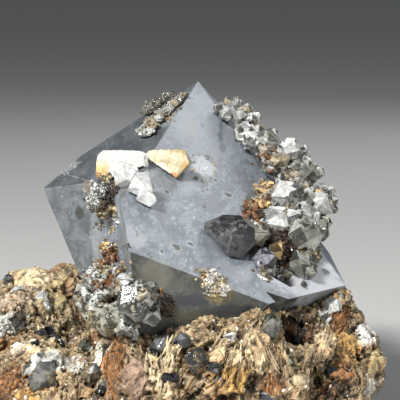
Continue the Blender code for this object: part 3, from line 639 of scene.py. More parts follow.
def cut_off(ob, at_y_mm, keep_front, closed=True):
    """Cut a piece by an upright plane; the cut is closed or left open."""
    edit_all(ob)
    bpy.ops.mesh.bisect(plane_co=(0, at_y_mm * MM, 0), plane_no=(0, 1, 0), use_fill=closed,
                        clear_outer=keep_front, clear_inner=not keep_front)
    bpy.ops.object.mode_set(mode="OBJECT")


# %% Chips, fibres and pits as heights
def read_points(ob):
    """Places and normals of a mesh's vertices, in millimetres."""
    count = len(ob.data.vertices)
    co, no = np.empty(count * 3), np.empty(count * 3)
    ob.data.vertices.foreach_get("co", co)
    ob.data.vertices.foreach_get("normal", no)
    return co.reshape(-1, 3) / MM, no.reshape(-1, 3)


def chips(points, size, shift, lean):
    """A surface broken into flat chips: every cell has its own height and its own lean."""
    height = np.empty(len(points))
    move = Vector((shift, shift, shift))
    for i, p in enumerate(points):
        q = Vector(p) / size + move
        near = noise.voronoi(q)[1][0]
        own = noise.noise_vector(near * 5.3)
        height[i] = 0.8 * noise.noise(near * 3.7) + lean * (q - near).dot(own)
    return height


def strands(drawn, size, shift):
    """Ridges that run along the fibres, like the grain of wood."""
    return 1.0 - 2.6 * np.abs(noise_at(drawn, size, shift))


def rock_height(points):
    """Height of the rock's skin over the solid, the look there, and places along the fibres."""
    look = regions_at(points)
    fibre, grain, push = look[:, 0], look[:, 1], look[:, 5]
    drawn = squeezed(points, fibre)
    height = push + 0.55 * chips(points, 2.6, 0.3, 1.1) * (1 - 0.4 * fibre)
    height += 0.36 * chips(points, 0.9, 5.0, 1.0) * (0.3 + 0.7 * grain)
    height += fibre * (0.40 * strands(drawn, 1.2, 1.0) + 0.28 * strands(drawn, 0.55, 7.0))
    pits = np.clip(noise_at(drawn, 1.25, 12.0) - 0.18, 0, 1)
    height -= 2.4 * pits * (0.5 + 0.5 * grain)
    return height, look, drawn


def move_points(ob, points):
    """Put the vertices of a mesh at places in millimetres."""
    ob.data.vertices.foreach_set("co", (points * MM).ravel())
    ob.data.update()


def paint(ob, colors):
    """Keep a colour on every vertex, for the finish to read."""
    tint = ob.data.color_attributes.new("tint", "FLOAT_COLOR", "POINT")
    flat = np.ones((len(colors), 4))
    flat[:, :3] = colors
    tint.data.foreach_set("color", flat.ravel())


# %% [markdown]
# The tint is shaded by the height and by how hollow the skin is there: what lies deep gets
# painted shade, and what stands out gets painted light. Where the solid rests on the table
# nothing is moved.

# %% Skins of the rock
BASE_BAND = 0.8  # millimetres over the table where the relief fades out
PAINTED_SHADE_DIPS = ((3, 0.05), (12, 0.22))  # rounds of smoothing, and how deep a dip is when its painted shade is fully dark


def hollowness(ob, points, normals, rounds):
    """How far each vertex lies under the smoothed skin round it, in millimetres."""
    pairs = np.empty(len(ob.data.edges) * 2, dtype=np.int32)
    ob.data.edges.foreach_get("vertices", pairs)
    a, b = pairs.reshape(-1, 2).T
    count = len(points)
    many = np.bincount(pairs, minlength=count)
    smooth = points
    for _ in range(rounds):
        total = [np.bincount(a, smooth[b, k], count) + np.bincount(b, smooth[a, k], count)
                 for k in range(3)]
        smooth = np.stack(total, axis=1) / many[:, None]
    return ((smooth - points) * normals).sum(axis=1)


def carve(ob):
    """Move and paint the skin of the rock, with painted shade in its hollows and painted light on
    what stands out.
    """
    points, normals = read_points(ob)
    height, look, drawn = rock_height(points)
    fade = np.clip((points[:, 2] - 0.05) / BASE_BAND, 0, 1)
    moved = points + normals * (height * fade)[:, None]
    moved[:, 2] = np.maximum(moved[:, 2], 0)
    move_points(ob, moved)
    bumps, sides = read_points(ob)
    sunk = sum(hollowness(ob, bumps, sides, rounds) / deep for rounds, deep in PAINTED_SHADE_DIPS)
    # painted light where the skin stands out, painted shade where it is hollow
    light = np.clip(0.74 + 0.35 * height - 0.30 * sunk, 0.10, 1.55)
    mottle = 1 + 0.5 * noise_at(points, 2.2, 20.0) + 0.7 * noise_at(drawn, 0.6, 31.0)
    rusty = np.clip(noise_at(points, 3.0, 41.0) * 1.4 - 0.2, 0, 0.5)[:, None]
    colors = look[:, 2:5] * (1 - rusty) + np.array(RUST) * 1.3 * rusty
    paint(ob, colors * (light * mottle)[:, None])
    strand = ob.data.attributes.new("strand", "FLOAT_VECTOR", "POINT")
    strand.data.foreach_set("vector", (drawn * MM).ravel())


def rock_part(name, voxel_mm, first_mm, last_mm, keep_front):
    """Carve a wider part than is kept; the last cut is open, as the parts lie over each other."""
    ob = copy_solid("matrix_rock", name, voxel_mm)
    cut_off(ob, first_mm, keep_front)
    carve(ob)
    cut_off(ob, last_mm, keep_front, closed=False)
    print(ob.name, len(ob.data.polygons), "faces")
    return ob


front_rock = rock_part("rock_front", voxel_mm=0.2, first_mm=-11.4, last_mm=-12.6,
                       keep_front=True)
back_rock = rock_part("rock_back", voxel_mm=0.34, first_mm=-14.8, last_mm=-13.3,
                      keep_front=False)


# %% [markdown]
# Rock grain is far smaller than the faces of the skin, so it lies in the finish: fine noise
# for light and dark grains, glassy glints, and a bump that breaks the light.

# %% Finish of the rock
def rock_grain_group():
    g, start, end = new_group(
        "rock_grain", {"Vector": "Vector", "Tint": "Color", "Contrast": "Float"},
        {"Colour": "Color", "Roughness": "Float", "Height": "Float"})
    p, contrast = start["Vector"], start["Contrast"]
    fine, coarse = noise_value(g, p, 3200, 3, 0.65), noise_value(g, p, 900, 4, 0.65, 0.6)
    dark = math_node(g, "MULTIPLY", ramp(g, coarse, 0.47, 0.34), contrast)
    light = math_node(g, "MULTIPLY", ramp(g, fine, 0.56, 0.68), contrast)
    color = tinted(g, start["Tint"], dark, 0.75, (0.06, 0.035, 0.018))
    color = tinted(g, color, light, 0.45, (0.80, 0.72, 0.56))
    stain = ramp(g, noise_value(g, p, 420, 3, 0.6), 0.56, 0.66, 0.0, 0.45)
    color = blend_color(g, stain, color, (0.34, 0.16, 0.05))
    glint = ramp(g, noise_value(g, p, 1500, 2), 0.5, 0.62)
    give(g, end, Colour=color, Roughness=ramp(g, glint, 0, 1, 0.62, 0.22),
         Height=math_node(g, "ADD", fine, coarse))
    return g


ROCK_GRAIN = rock_grain_group()


def rock_material(name, contrast, depth_mm, along_fibres):
    """The rock's finish; its grain can run along the fibres that the skin was carved with."""
    mat, tree, shader = new_material(name)
    if along_fibres:
        strand = tree.nodes.new("ShaderNodeAttribute")
        strand.attribute_name = "strand"
        place = strand.outputs["Vector"]
    else:
        place = coordinate(tree)
    grain = use_group(tree, ROCK_GRAIN, Vector=place, Tint=own_tint(tree), Contrast=contrast)
    tree.links.new(grain["Colour"], shader.inputs["Base Color"])
    tree.links.new(grain["Roughness"], shader.inputs["Roughness"])
    bump(tree, shader, grain["Height"], depth_mm)
    return mat


rock_finish = rock_material("altered_lava", 1.0, 0.3, True)
for ob in (front_rock, back_rock):
    ob.data.materials.append(rock_finish)
    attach(ob, "root")
    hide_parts("matrix_rock")


# %% [markdown]
# Loose fibres and grains make the rock look torn. Each shape is modelled once and copied
# many times into one mesh: a splinter is a four-sided bar that tapers and bends, and a grain
# is a small ball with its corners knocked about.

# %% Shapes to strew
def taken(ob):
    """Vertices and faces of an object as lists; the object is removed."""
    points = np.array([v.co for v in ob.data.vertices])
    faces = [tuple(f.vertices) for f in ob.data.polygons]
    bpy.data.objects.remove(ob, do_unlink=True)
    return points, faces


def splinter():
    """A bar of length one along z, thick in the middle and bent."""
    bpy.ops.object.select_all(action="DESELECT")
    bpy.ops.mesh.primitive_cylinder_add(vertices=4, radius=0.5, depth=1.0)
    ob = bpy.context.active_object
    bpy.ops.object.mode_set(mode="EDIT")
    for height in (-0.22, 0.2):
        bpy.ops.mesh.select_all(action="SELECT")
        bpy.ops.mesh.bisect(plane_co=(0, 0, height), plane_no=(0, 0.1, 1))
    bpy.ops.object.mode_set(mode="OBJECT")
    for v in ob.data.vertices:
        taper = 1.0 - 0.75 * abs(v.co.z * 2) ** 2
        v.co.x = v.co.x * taper + 0.35 * (v.co.z ** 2 - 0.1)
        v.co.y *= taper
    return taken(ob)


def grain_shape(seed):
    bpy.ops.object.select_all(action="DESELECT")
    bpy.ops.mesh.primitive_ico_sphere_add(subdivisions=1, radius=0.5)
    ob = bpy.context.active_object
    rng = random.Random(seed)
    for v in ob.data.vertices:
        v.co *= rng.uniform(0.65, 1.2)
    return taken(ob)


def strewn(name, shapes, places, tints, mat):
    """One mesh of many copies of a few shapes, each with its own turn, place and tint."""
    points, faces, colors, start = [], [], [], 0
    for i, (turn, move) in enumerate(places):
        shape, sides = shapes[i % len(shapes)]
        points.append(shape @ turn.T + move)
        faces += [tuple(start + k for k in side) for side in sides]
        colors.append(np.repeat(tints[i][None, :], len(shape), axis=0))
        start += len(shape)
    mesh = bpy.data.meshes.new(name)
    mesh.from_pydata((np.concatenate(points) * MM).tolist(), [], faces)
    ob = bpy.data.objects.new(name, mesh)
    bpy.context.scene.collection.objects.link(ob)
    paint(ob, np.clip(np.concatenate(colors), 0, 1))
    mesh.materials.append(mat)
    edit_all(ob)
    bpy.ops.mesh.normals_make_consistent(inside=False)
    bpy.ops.object.mode_set(mode="OBJECT")
    print(name, len(places), "copies,", len(mesh.polygons), "faces")
    return ob


SPLINTER = splinter()
GRAINS = [grain_shape(s) for s in range(5)]


# %% Places on a skin
def spots_on(ob, count, seed, weight):
    """Random places on a mesh, thicker where the weight is high: points and normals in mm."""
    total = len(ob.data.polygons)
    centre, normal, area = np.empty(total * 3), np.empty(total * 3), np.empty(total)
    ob.data.polygons.foreach_get("center", centre)
    ob.data.polygons.foreach_get("normal", normal)
    ob.data.polygons.foreach_get("area", area)
    centre, normal = centre.reshape(-1, 3) / MM, normal.reshape(-1, 3)
    share = area * weight(centre, normal)
    rng = np.random.default_rng(seed)
    pick = rng.choice(total, size=count, p=share / share.sum())
    return centre[pick], normal[pick], rng


def frames_along(ways, normals, spin):
    """3x3 turns whose z runs along a way and whose x leans to the normal."""
    z = ways / np.linalg.norm(ways, axis=1)[:, None]
    y = np.cross(z, normals)
    y /= np.maximum(np.linalg.norm(y, axis=1), 1e-6)[:, None]
    x = np.cross(y, z)
    c, s = np.cos(spin)[:, None], np.sin(spin)[:, None]
    return np.stack([x * c + y * s, y * c - x * s, z], axis=2)


# %% Fibres of the rock
OFF_SKIN = 0.02  # millimetres from the skin to the middle of a loose bit


def fibre_weight(centre, normal):
    """Faces that look forward, above the foot of the rock, where it breaks into fibres."""
    forward = np.clip(0.2 - normal[:, 1], 0, 1) * (centre[:, 2] > 2.5)
    return forward * np.clip(regions_at(centre)[:, 0] - 0.45, 0, 1)


def loose(turns, size, at, out):
    """Turn, size and place of each loose bit on the rock."""
    return [(turns[i] * size[i], at[i] + out[i] * OFF_SKIN) for i in range(len(at))]


def strew_fibres(name, rock, count, seed):
    """Splinters that lie along the fibres of the rock, in its own tints."""
    at, out, rng = spots_on(rock, count, seed, fibre_weight)
    way = bundles(at)[1] + rng.normal(0, 0.08, (count, 3))
    way -= 0.95 * (way * out).sum(axis=1)[:, None] * out
    turns = frames_along(way, out, rng.uniform(-0.6, 0.6, count))
    size = np.stack([rng.uniform(low, high, count) for low, high in (
        (0.15, 0.30), (0.12, 0.34), (0.9, 2.6))], axis=1)
    tints = regions_at(at)[:, 2:5] * rng.uniform(0.35, 1.5, count)[:, None]
    return strewn(name, [SPLINTER], loose(turns, size, at, out), tints, loose_finish)


loose_finish = rock_material("lava_fibres", 0.6, 0.08, False)
fibres = strew_fibres("rock_fibres", front_rock, 420, 11)


# %% Grains of the rock
def grain_weight(centre, normal):
    """Faces that look forward or up, above the foot of the rock, more where it is grainy."""
    open_front = (normal[:, 1] < 0.35) & (normal[:, 2] > -0.35) & (centre[:, 2] > 0.8)
    return open_front * (0.15 + regions_at(centre)[:, 1])


def strew_grains(name, rock, count, seed):
    """Grains in the rock's own tints, some of them black, cream or brown."""
    at, out, rng = spots_on(rock, count, seed, grain_weight)
    turns = frames_along(rng.normal(0, 1, (count, 3)), out, rng.uniform(0, 6, count))
    size = rng.uniform(0.22, 0.55, (count, 1)) ** 1.2 * rng.uniform(0.6, 1.6, (count, 3))
    tints = regions_at(at)[:, 2:5] * rng.uniform(0.5, 1.5, count)[:, None]
    odd = rng.uniform(0, 1, count)
    tints[odd < 0.10] = (0.03, 0.025, 0.02)
    tints[(odd > 0.10) & (odd < 0.24)] = (0.75, 0.70, 0.60)
    tints[(odd > 0.24) & (odd < 0.30)] = (0.30, 0.15, 0.06)
    return strewn(name, GRAINS, loose(turns, size, at, out), tints, loose_finish)


grains = strew_grains("rock_grains", front_rock, 3200, 12)
back_grains = strew_grains("rock_grains_behind", back_rock, 2400, 13)
for ob in (fibres, grains, back_grains):
    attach(ob, "root")


# %% [markdown]
# Some small things are placed at listed points, so the camera's own line of sight finds them:
# a line through a point of its picture meets the skin of the rock, and the thing sits there.

# %% Where the camera's line of sight meets a skin
PICTURE = 400  # points across and down the camera's picture


def skin_tree(*pieces):
    """A search tree over the skins of several pieces."""
    points, faces = [], []
    for ob in pieces:
        start = len(points)
        points += [v.co.copy() for v in ob.data.vertices]
        faces += [[start + k for k in f.vertices] for f in ob.data.polygons]
    return BVHTree.FromPolygons(points, faces)


def seen(tree, across, down):
    """Place in millimetres and normal where the line of sight meets a skin."""
    reach = lens.lens / lens.sensor_width * PICTURE
    ray = Vector(((across - PICTURE / 2) / reach, (PICTURE / 2 - down) / reach, -1))
    ray.rotate(camera.rotation_euler)
    hit, normal = tree.ray_cast(camera.location, ray.normalized())[:2]
    return (None, None) if hit is None else (np.array(hit) / MM, np.array(normal))


ROCK_TREE = skin_tree(front_rock, back_rock)


# %% [markdown]
# Crystals are copies of two shapes: a slim one with a six-sided prism, and a stubby one that
# is nearly all point, as beta quartz grows. Each copy has its own tint. They let part of the
# light through, and each face is painted lighter or darker by a pattern over the way that it
# looks: painted light and shade, such as glassy facets show.

# %% Shapes and finish of the small crystals
def double_point(prism, tip):
    """A six-sided prism with a point at each end; radius one, and length one along z."""
    bpy.ops.object.select_all(action="DESELECT")
    bpy.ops.mesh.primitive_cylinder_add(vertices=6, radius=1.0, depth=prism)
    ob = bpy.context.active_object
    bpy.ops.object.mode_set(mode="EDIT")
    for side in (1, -1):
        bpy.ops.mesh.select_all(action="DESELECT")
        bpy.ops.object.mode_set(mode="OBJECT")
        for face in ob.data.polygons:
            face.select = face.normal.z * side > 0.9
        bpy.ops.object.mode_set(mode="EDIT")
        bpy.ops.mesh.extrude_region_move(TRANSFORM_OT_translate={"value": (0, 0, tip * side)})
        bpy.ops.transform.resize(value=(0.10, 0.16, 1.0))
    bpy.ops.object.mode_set(mode="OBJECT")
    return taken(ob)


SLIM, STUBBY = double_point(0.44, 0.28), double_point(0.16, 0.42)
PAINTED_FACET_LIGHT_RANGE = (0.16, 1.34)  # how dark and how light single faces are painted: painted light and shade


def crystal_glass(name, through, rough, depth_mm, low=0.42, edged=False):
    """Clear quartz in the tint that is kept on each crystal, with painted light and shade on each
    face, and white edges, chipped and painted highlight, if asked.
    """
    mat, tree, shader = new_material(name)
    flaws = use_group(tree, QUARTZ_FLAWS, Vector=coordinate(tree), Size=2.4)
    color = shade(tree, own_tint(tree), flaws["Mottle"], low, 1.3)
    # each face painted lighter or darker by a pattern over the way that it looks: painted light and
    # shade
    painted_facet_light = ramp(tree, noise_value(tree, coordinate(tree, "Normal"), 2.6, 1), 0.36, 0.62)
    color = shade(tree, color, painted_facet_light, *PAINTED_FACET_LIGHT_RANGE)
    color = tinted(tree, color, flaws["Speck"], 0.5, (0.92, 0.92, 0.88))
    if edged:
        color = edges_wear_and_highlight(tree, color, PALE_EDGE_WIDTH, (0.95, 0.96, 0.94), 0.85)
    finish_quartz(tree, shader, color, ramp(tree, flaws["Veil"], 0, 1, *rough), through,
                  flaws["Height"], depth_mm)
    return mat


crystal_finish = crystal_glass("small_clear_quartz", 0.42, (0.03, 0.14), 0.05, 0.62)


def own_turn(degrees):
    return np.array(Euler([math.radians(a) for a in degrees]).to_matrix())


def cluster(name, specs, seed, young, mat=crystal_finish):
    """Crystals at named places, each with a few smaller ones grown round its foot."""
    rng = np.random.default_rng(seed)
    places, tints = [], []
    for centre, radius, length, degrees, tint in specs:
        size = np.array((1.25 * radius, rng.uniform(0.6, 1.15) * radius, 1.04 * length))
        places.append((own_turn(degrees) * size, np.array(centre)))
        tints.append(tint)
        for _ in range(young):
            share = rng.uniform(0.30, 0.62)
            out = rng.normal(0, 1, 3)
            out *= radius * rng.uniform(0.7, 1.1) / np.linalg.norm(out)
            turn = own_turn(rng.uniform(0, 180, 3))
            places.append((turn * size * share, np.array(centre) + out))
            tints.append(np.array(tint) * rng.uniform(0.7, 1.2))
    piece = strewn(name, [STUBBY, SLIM], places, np.array(tints, dtype=float), mat)
    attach(piece, "root")


# %% [markdown]
# The crusts on the crystal are lumps of such crystals with rust between them. Their solids
# are copied into a fine skin and broken into flat chips: dim quartz on what stands out, rust
# and brown in the gaps, darkened there as painted shade. The crystals named below stand on
# that skin, and tiny ones are strewn.

# %% Skins of the crusts
GLASS, MILK, STRAW = (0.27, 0.275, 0.245), (0.62, 0.63, 0.60), (0.42, 0.37, 0.26)
# Of these, the second is a near-black brown laid in the pocket and the gaps: their brown, darkened
# as painted shade.
RUSTY, DARK_BROWN_SHADE, ORANGE = (0.22, 0.095, 0.035), (0.040, 0.024, 0.015), (0.62, 0.40, 0.17)
CLEAR, PALE, GREENISH = (0.72, 0.74, 0.72), (0.95, 0.96, 0.94), (0.40, 0.41, 0.34)
VIOLET, DIM, HONEY = (0.50, 0.50, 0.58), (0.10, 0.10, 0.085), (0.86, 0.60, 0.30)
ASH, INK = (0.17, 0.175, 0.18), (0.020, 0.022, 0.028)
MIST, DUSTY = (0.66, 0.68, 0.60), (0.60, 0.52, 0.36)

DRUSE_SPOTS = [  # centre, radii in millimetres, tint
    ((9.6, 13.6, 33.4), (2.2, 2.6, 1.4), STRAW), ((8.9, 13.4, 33.6), (0.7, 3.0, 1.2), RUSTY),
    ((9.7, 10.2, 31.7), (1.4, 1.8, 1.6), MILK), ((12.6, 7.0, 29.2), (1.8, 2.2, 1.5), RUSTY),
    ((15.0, 6.0, 28.4), (1.4, 1.8, 1.2), RUSTY), ((14.8, 3.4, 26.6), (2.0, 2.4, 1.4), DARK_BROWN_SHADE),
    ((17.4, 3.2, 25.8), (0.9, 1.2, 1.2), ORANGE), ((18.0, 1.8, 24.6), (1.0, 1.2, 0.9), RUSTY),
    ((10.4, 1.0, 26.6), (1.5, 1.6, 1.2), ORANGE), ((9.0, -4.6, 25.4), (2.6, 1.9, 1.3), RUSTY),
    ((11.4, -3.0, 24.6), (1.5, 1.5, 1.2), MILK), ((12.4, -9.0, 20.8), (4.4, 5.0, 2.8), DARK_BROWN_SHADE),
    ((11.0, -7.6, 21.4), (1.7, 1.6, 1.2), RUSTY), ((14.9, -6.9, 20.8), (1.2, 1.6, 1.2), ORANGE),
    ((9.0, -13.4, 20.4), (1.3, 1.6, 1.6), RUSTY), ((11.4, -15.6, 18.6), (1.4, 1.4, 1.0), RUSTY)]
OUTLINE_SPOTS = [((-2.0, 14.0, 36.0), (12.0, 16.0, 9.0), (0.21, 0.205, 0.175)),
                 ((-0.5, 14.0, 36.4), (1.4, 3.0, 1.0), STRAW)]
LOWER_SPOTS = [
    ((-6.4, -26.4, 16.2), (2.4, 2.4, 2.4), GREENISH), ((-8.6, -23.6, 18.6), (1.6, 2.4, 1.2), MILK),
    ((-7.4, -25.0, 19.4), (1.0, 1.6, 1.0), RUSTY), ((-5.4, -25.6, 20.4), (1.2, 1.4, 0.9), RUSTY),
    ((-9.6, -22.4, 20.0), (0.9, 1.6, 0.8), RUSTY), ((-7.2, -26.4, 17.6), (0.7, 1.4, 0.7), DARK_BROWN_SHADE),
    ((-9.0, -24.6, 15.2), (1.6, 2.4, 1.2), STRAW), ((-3.4, -27.0, 15.4), (1.2, 1.6, 0.9), RUSTY)]

SPOT_EDGE = 0.25  # how soft a named spot's edge is, as a share of its radius


def crust_colors(points, height, spots):
    """Glassy tints that turn rusty in the gaps and darker there as painted shade, with named spots
    over them.
    """
    patch = noise_at(points, 1.4, 3.0)
    colors = np.where((patch > 0.12)[:, None], np.array(MILK), np.array(GLASS)).astype(float)
    colors[patch < -0.15] = STRAW
    ragged = 0.4 * noise_at(points, 0.9, 6.0)
    for centre, radii, tint in spots:
        share = within(points, centre, radii, ragged, SPOT_EDGE)
        colors = colors * (1 - share) + np.array(tint) * share
    # the gaps turn rusty and darker: rust, with painted shade
    deep = np.clip((0.02 - height) / 0.22, 0, 1)[:, None]
    return colors * (1 - deep) + np.array(RUSTY) * (0.35 + 0.5 * colors) * deep


def crust_skin(node, name, voxel_mm, mat, spots, chip=1.2, rise=0.26):
    """A solid's skin broken into flat chips, with smaller chips on them."""
    ob = copy_solid(node, name, voxel_mm)
    points, normals = read_points(ob)
    height = rise * chips(points, chip, 2.0, 1.4)
    height += 0.4 * rise * chips(points, chip * 0.4, 8.0, 1.4)
    move_points(ob, points + normals * height[:, None])
    paint(ob, crust_colors(points, height, spots))
    ob.data.materials.append(mat)
    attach(ob, "root")
    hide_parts(node)
    print(name, len(ob.data.polygons), "faces")
    return ob


def crust_material(name, through, rough):
    """Cloudy quartz in the tint of the skin, with dark dust in patches."""
    mat, tree, shader = new_material(name)
    place = coordinate(tree)
    flaws = use_group(tree, QUARTZ_FLAWS, Vector=place, Size=2.0)
    color = tinted(tree, own_tint(tree), flaws["Speck"], 0.4, (0.85, 0.85, 0.80))
    dark = ramp(tree, noise_value(tree, place, 1100, 4, 0.65), 0.46, 0.36, 0.0, 0.8)
    color = blend_color(tree, dark, color, (0.06, 0.038, 0.022))
    finish_quartz(tree, shader, color,
                  ramp(tree, noise_value(tree, place, 1500, 2), 0.4, 0.6, *rough), through,
                  flaws["Height"], 0.12)
    return mat


crust_finish = crust_material("crust_of_tiny_quartz", 0.12, (0.10, 0.4))
druse = crust_skin("shoulder_druse", "shoulder_crust", 0.15, crust_finish, DRUSE_SPOTS)
edge_crust = crust_skin("edge_crust", "edge_crust_skin", 0.12, crust_finish,
                        DRUSE_SPOTS, 0.6, 0.18)
outline_crust = crust_skin("outline_druse", "outline_crust_skin", 0.12, crust_finish,
                           OUTLINE_SPOTS, 0.6, 0.18)
lower_crust = crust_skin("lower_quartz_group", "lower_group_crust", 0.13, crust_finish,
                         LOWER_SPOTS, 1.1, 0.20)


# %% Crystals of the crusts
SHOULDER_CRYSTALS = [  # centre, radius, length, turn in degrees, tint
    ((8.3, 11.6, 32.9), 1.35, 3.4, (20, 40, 0), CLEAR),
    ((8.9, 9.6, 32.4), 0.9, 2.4, (60, 60, 0), PALE),
    ((11.2, 9.6, 32.2), 1.25, 3.0, (10, 25, 20), CLEAR),
    ((13.6, 8.6, 31.2), 1.3, 3.4, (15, 30, 10), PALE),
    ((15.3, 8.4, 30.4), 1.2, 3.0, (40, 60, 0), CLEAR),
    ((16.3, 6.4, 28.5), 1.2, 3.4, (0, 75, 20), GREENISH),
    ((14.6, 5.6, 29.6), 1.0, 2.6, (50, 20, 0), DIM),
    ((17.8, 4.6, 26.0), 1.25, 3.2, (20, 60, -10), CLEAR),
    ((18.3, 3.4, 24.8), 1.05, 2.8, (70, 40, 0), CLEAR),
    ((16.7, 0.6, 24.4), 1.3, 3.4, (30, 50, 0), CLEAR),
    ((13.3, -0.2, 26.3), 1.55, 4.2, (80, 10, 60), CLEAR),
    ((15.3, -0.6, 25.2), 1.3, 3.6, (35, 20, 50), GREENISH),
    ((12.1, -3.4, 24.3), 1.45, 3.8, (60, 15, 20), PALE),
    ((11.0, 1.2, 26.4), 1.0, 2.4, (30, 10, 0), HONEY),
    ((16.8, -1.8, 22.6), 1.25, 3.2, (25, 45, 0), GREENISH),
    ((14.3, -5.0, 22.4), 1.3, 3.4, (65, 20, 30), GREENISH),
    ((9.3, 14.2, 34.6), 1.0, 2.6, (10, 45, 0), PALE),
    ((7.3, 16.6, 36.0), 0.9, 2.4, (30, 20, 40), CLEAR),
    ((17.3, 1.6, 26.2), 0.38, 3.0, (0, 138, 0), HONEY)]
POCKET_CRYSTALS = [
    ((9.4, -9.6, 23.2), 1.15, 3.0, (70, -20, 20), GREENISH),
    ((10.0, -14.3, 19.5), 1.4, 3.4, (50, 25, 75), VIOLET),
    ((14.6, -11.0, 19.2), 1.45, 4.4, (0, 28, 0), (0.20, 0.20, 0.16)),
    ((13.1, -3.6, 24.1), 1.7, 4.2, (70, 15, 40), PALE),
    ((12.5, -5.4, 22.9), 1.2, 3.0, (60, 60, 10), CLEAR),
    ((15.3, -6.2, 21.6), 1.5, 3.8, (60, 30, 30), GREENISH),
    ((15.7, -1.9, 23.4), 1.4, 3.6, (20, 50, 0), CLEAR),
    ((9.8, -17.8, 18.4), 1.0, 2.2, (75, 30, 20), STRAW)]
POCKET_GRAINS = [
    ((11.7, -10.8, 20.6), 1.0, 2.0, (40, 30, 0), HONEY),
    ((10.6, 1.6, 26.8), 1.1, 2.2, (30, 10, 0), HONEY),
    ((15.0, -7.6, 20.5), 0.9, 2.0, (50, 10, 0), HONEY),
    ((15.9, -7.9, 19.9), 0.7, 1.6, (10, 40, 0), ORANGE),
    ((9.0, -6.4, 24.6), 0.7, 2.6, (20, 60, 40), RUSTY),
    ((9.9, -3.6, 25.4), 0.8, 2.4, (20, 70, 30), ORANGE)]
LOWER_CRYSTALS = [
    ((-4.0, -28.0, 17.7), 2.25, 4.8, (62, 18, 25), (0.42, 0.44, 0.41)),
    ((-5.6, -27.3, 19.3), 1.15, 3.0, (40, 50, 0), CLEAR),
    ((-8.8, -23.2, 19.2), 1.1, 3.2, (15, 70, 0), CLEAR),
    ((-8.6, -24.2, 16.6), 1.2, 3.6, (10, 25, 30), GREENISH),
    ((-6.4, -26.6, 16.2), 1.3, 3.4, (50, -10, 0), GREENISH),
    ((-5.2, -27.6, 14.9), 1.1, 2.8, (20, 60, 20), (0.34, 0.34, 0.31)),
    ((-10.1, -21.6, 17.2), 1.0, 3.2, (20, 10, 0), MILK)]

grain_finish = crystal_glass("honey_grains", 0.1, (0.35, 0.5), 0.12)
cluster("shoulder_crystals", SHOULDER_CRYSTALS, 71, 5)
cluster("pocket_crystals", POCKET_CRYSTALS, 72, 3)
cluster("pocket_grains", POCKET_GRAINS, 73, 3, grain_finish)
cluster("lower_crystals", LOWER_CRYSTALS, 74, 3)


def outer(centre, normal):
    """Faces that don't look down."""
    return (normal[:, 2] > -0.5).astype(float)


def stick_crystals(name, ob, spots, count, seed, low, high):
    """Tiny crystals strewn over a skin, tinted as it is."""
    at, out, rng = spots_on(ob, count, seed, outer)
    ways = out + rng.normal(0, 0.45, (count, 3))
    turns = frames_along(ways, rng.normal(0, 1, (count, 3)), rng.uniform(0, 6, count))
    length = rng.uniform(low, high, (count, 1))
    size = length * np.stack([rng.uniform(0.28, 0.45, count), rng.uniform(0.28, 0.45, count),
                              rng.uniform(0.9, 1.4, count)], axis=1)
    tints = crust_colors(at, np.full(count, 0.5), spots) * rng.uniform(0.6, 1.7, (count, 1))
    piece = strewn(name, [SLIM, STUBBY], [(turns[i] * size[i], at[i]) for i in range(count)],
                   tints, crystal_finish)
    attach(piece, "root")


stick_crystals("shoulder_tiny_crystals", druse, DRUSE_SPOTS, 620, 21, 0.4, 1.1)
stick_crystals("edge_tiny_crystals", edge_crust, DRUSE_SPOTS, 110, 22, 0.3, 0.7)
stick_crystals("outline_tiny_crystals", outline_crust, OUTLINE_SPOTS, 90, 23, 0.3, 0.7)
stick_crystals("lower_tiny_crystals", lower_crust, LOWER_SPOTS, 380, 24, 0.3, 0.9)


# %% [markdown]
# Dark smoky crystals are scattered through the rock, half buried, and clear ones stand out
# of the shoulder's crust. They lie where the lines of sight meet the skins.

# %% Crystals in the rock and on the shoulder
ROCK_GEMS = [  # across and down in the camera's picture, length in millimetres, tint
    (40, 334, 2.2, ASH), (48, 331, 2.0, INK), (55, 338, 2.2, INK), (62, 345, 1.8, DIM),
    (36, 343, 1.4, INK), (84, 346, 2.2, DIM), (92, 350, 1.6, GREENISH), (160, 345, 2.8, ASH),
    (153, 352, 1.4, INK), (184, 341, 2.2, ASH), (170, 378, 2.2, INK), (215, 367, 1.8, ASH),
    (220, 378, 1.6, ASH), (104, 388, 2.2, ASH), (97, 392, 1.2, INK), (30, 372, 2.6, CLEAR),
    (40, 363, 3.0, PALE), (55, 366, 2.6, PALE), (128, 330, 2.6, GREENISH), (138, 326, 1.8, CLEAR),
    (270, 318, 2.6, GREENISH), (268, 396, 2.0, VIOLET), (326, 316, 2.4, CLEAR),
    (332, 305, 2.6, CLEAR), (341, 298, 1.8, GREENISH), (18, 290, 2.0, CLEAR), (41, 298, 2.4, CLEAR),
    (47, 307, 1.6, PALE), (8, 281, 1.8, ASH), (20, 326, 2.0, PALE), (308, 312, 1.4, DIM),
    (297, 340, 1.4, INK), (232, 337, 1.8, PALE), (330, 372, 1.6, INK), (290, 360, 1.6, GREENISH)]
DRUSE_GEMS = [  # the same, on the shoulder
    (230, 111, 2.8, CLEAR), (221, 109, 2.0, PALE), (240, 116, 2.2, PALE), (250, 140, 3.0, PALE),
    (268, 139, 3.2, MIST), (259, 132, 2.2, PALE), (290, 152, 3.4, PALE),
    (281, 160, 2.4, DUSTY), (300, 170, 3.2, MIST), (284, 197, 5.0, PALE),
    (277, 221, 4.0, PALE), (305, 236, 4.4, MIST), (318, 204, 4.0, PALE),
    (302, 212, 3.4, PALE), (256, 237, 3.2, GREENISH), (262, 261, 3.4, VIOLET),
    (300, 266, 3.8, GREENISH), (261, 281, 2.4, DUSTY), (276, 252, 2.6, HONEY),
    (263, 192, 2.6, HONEY)]


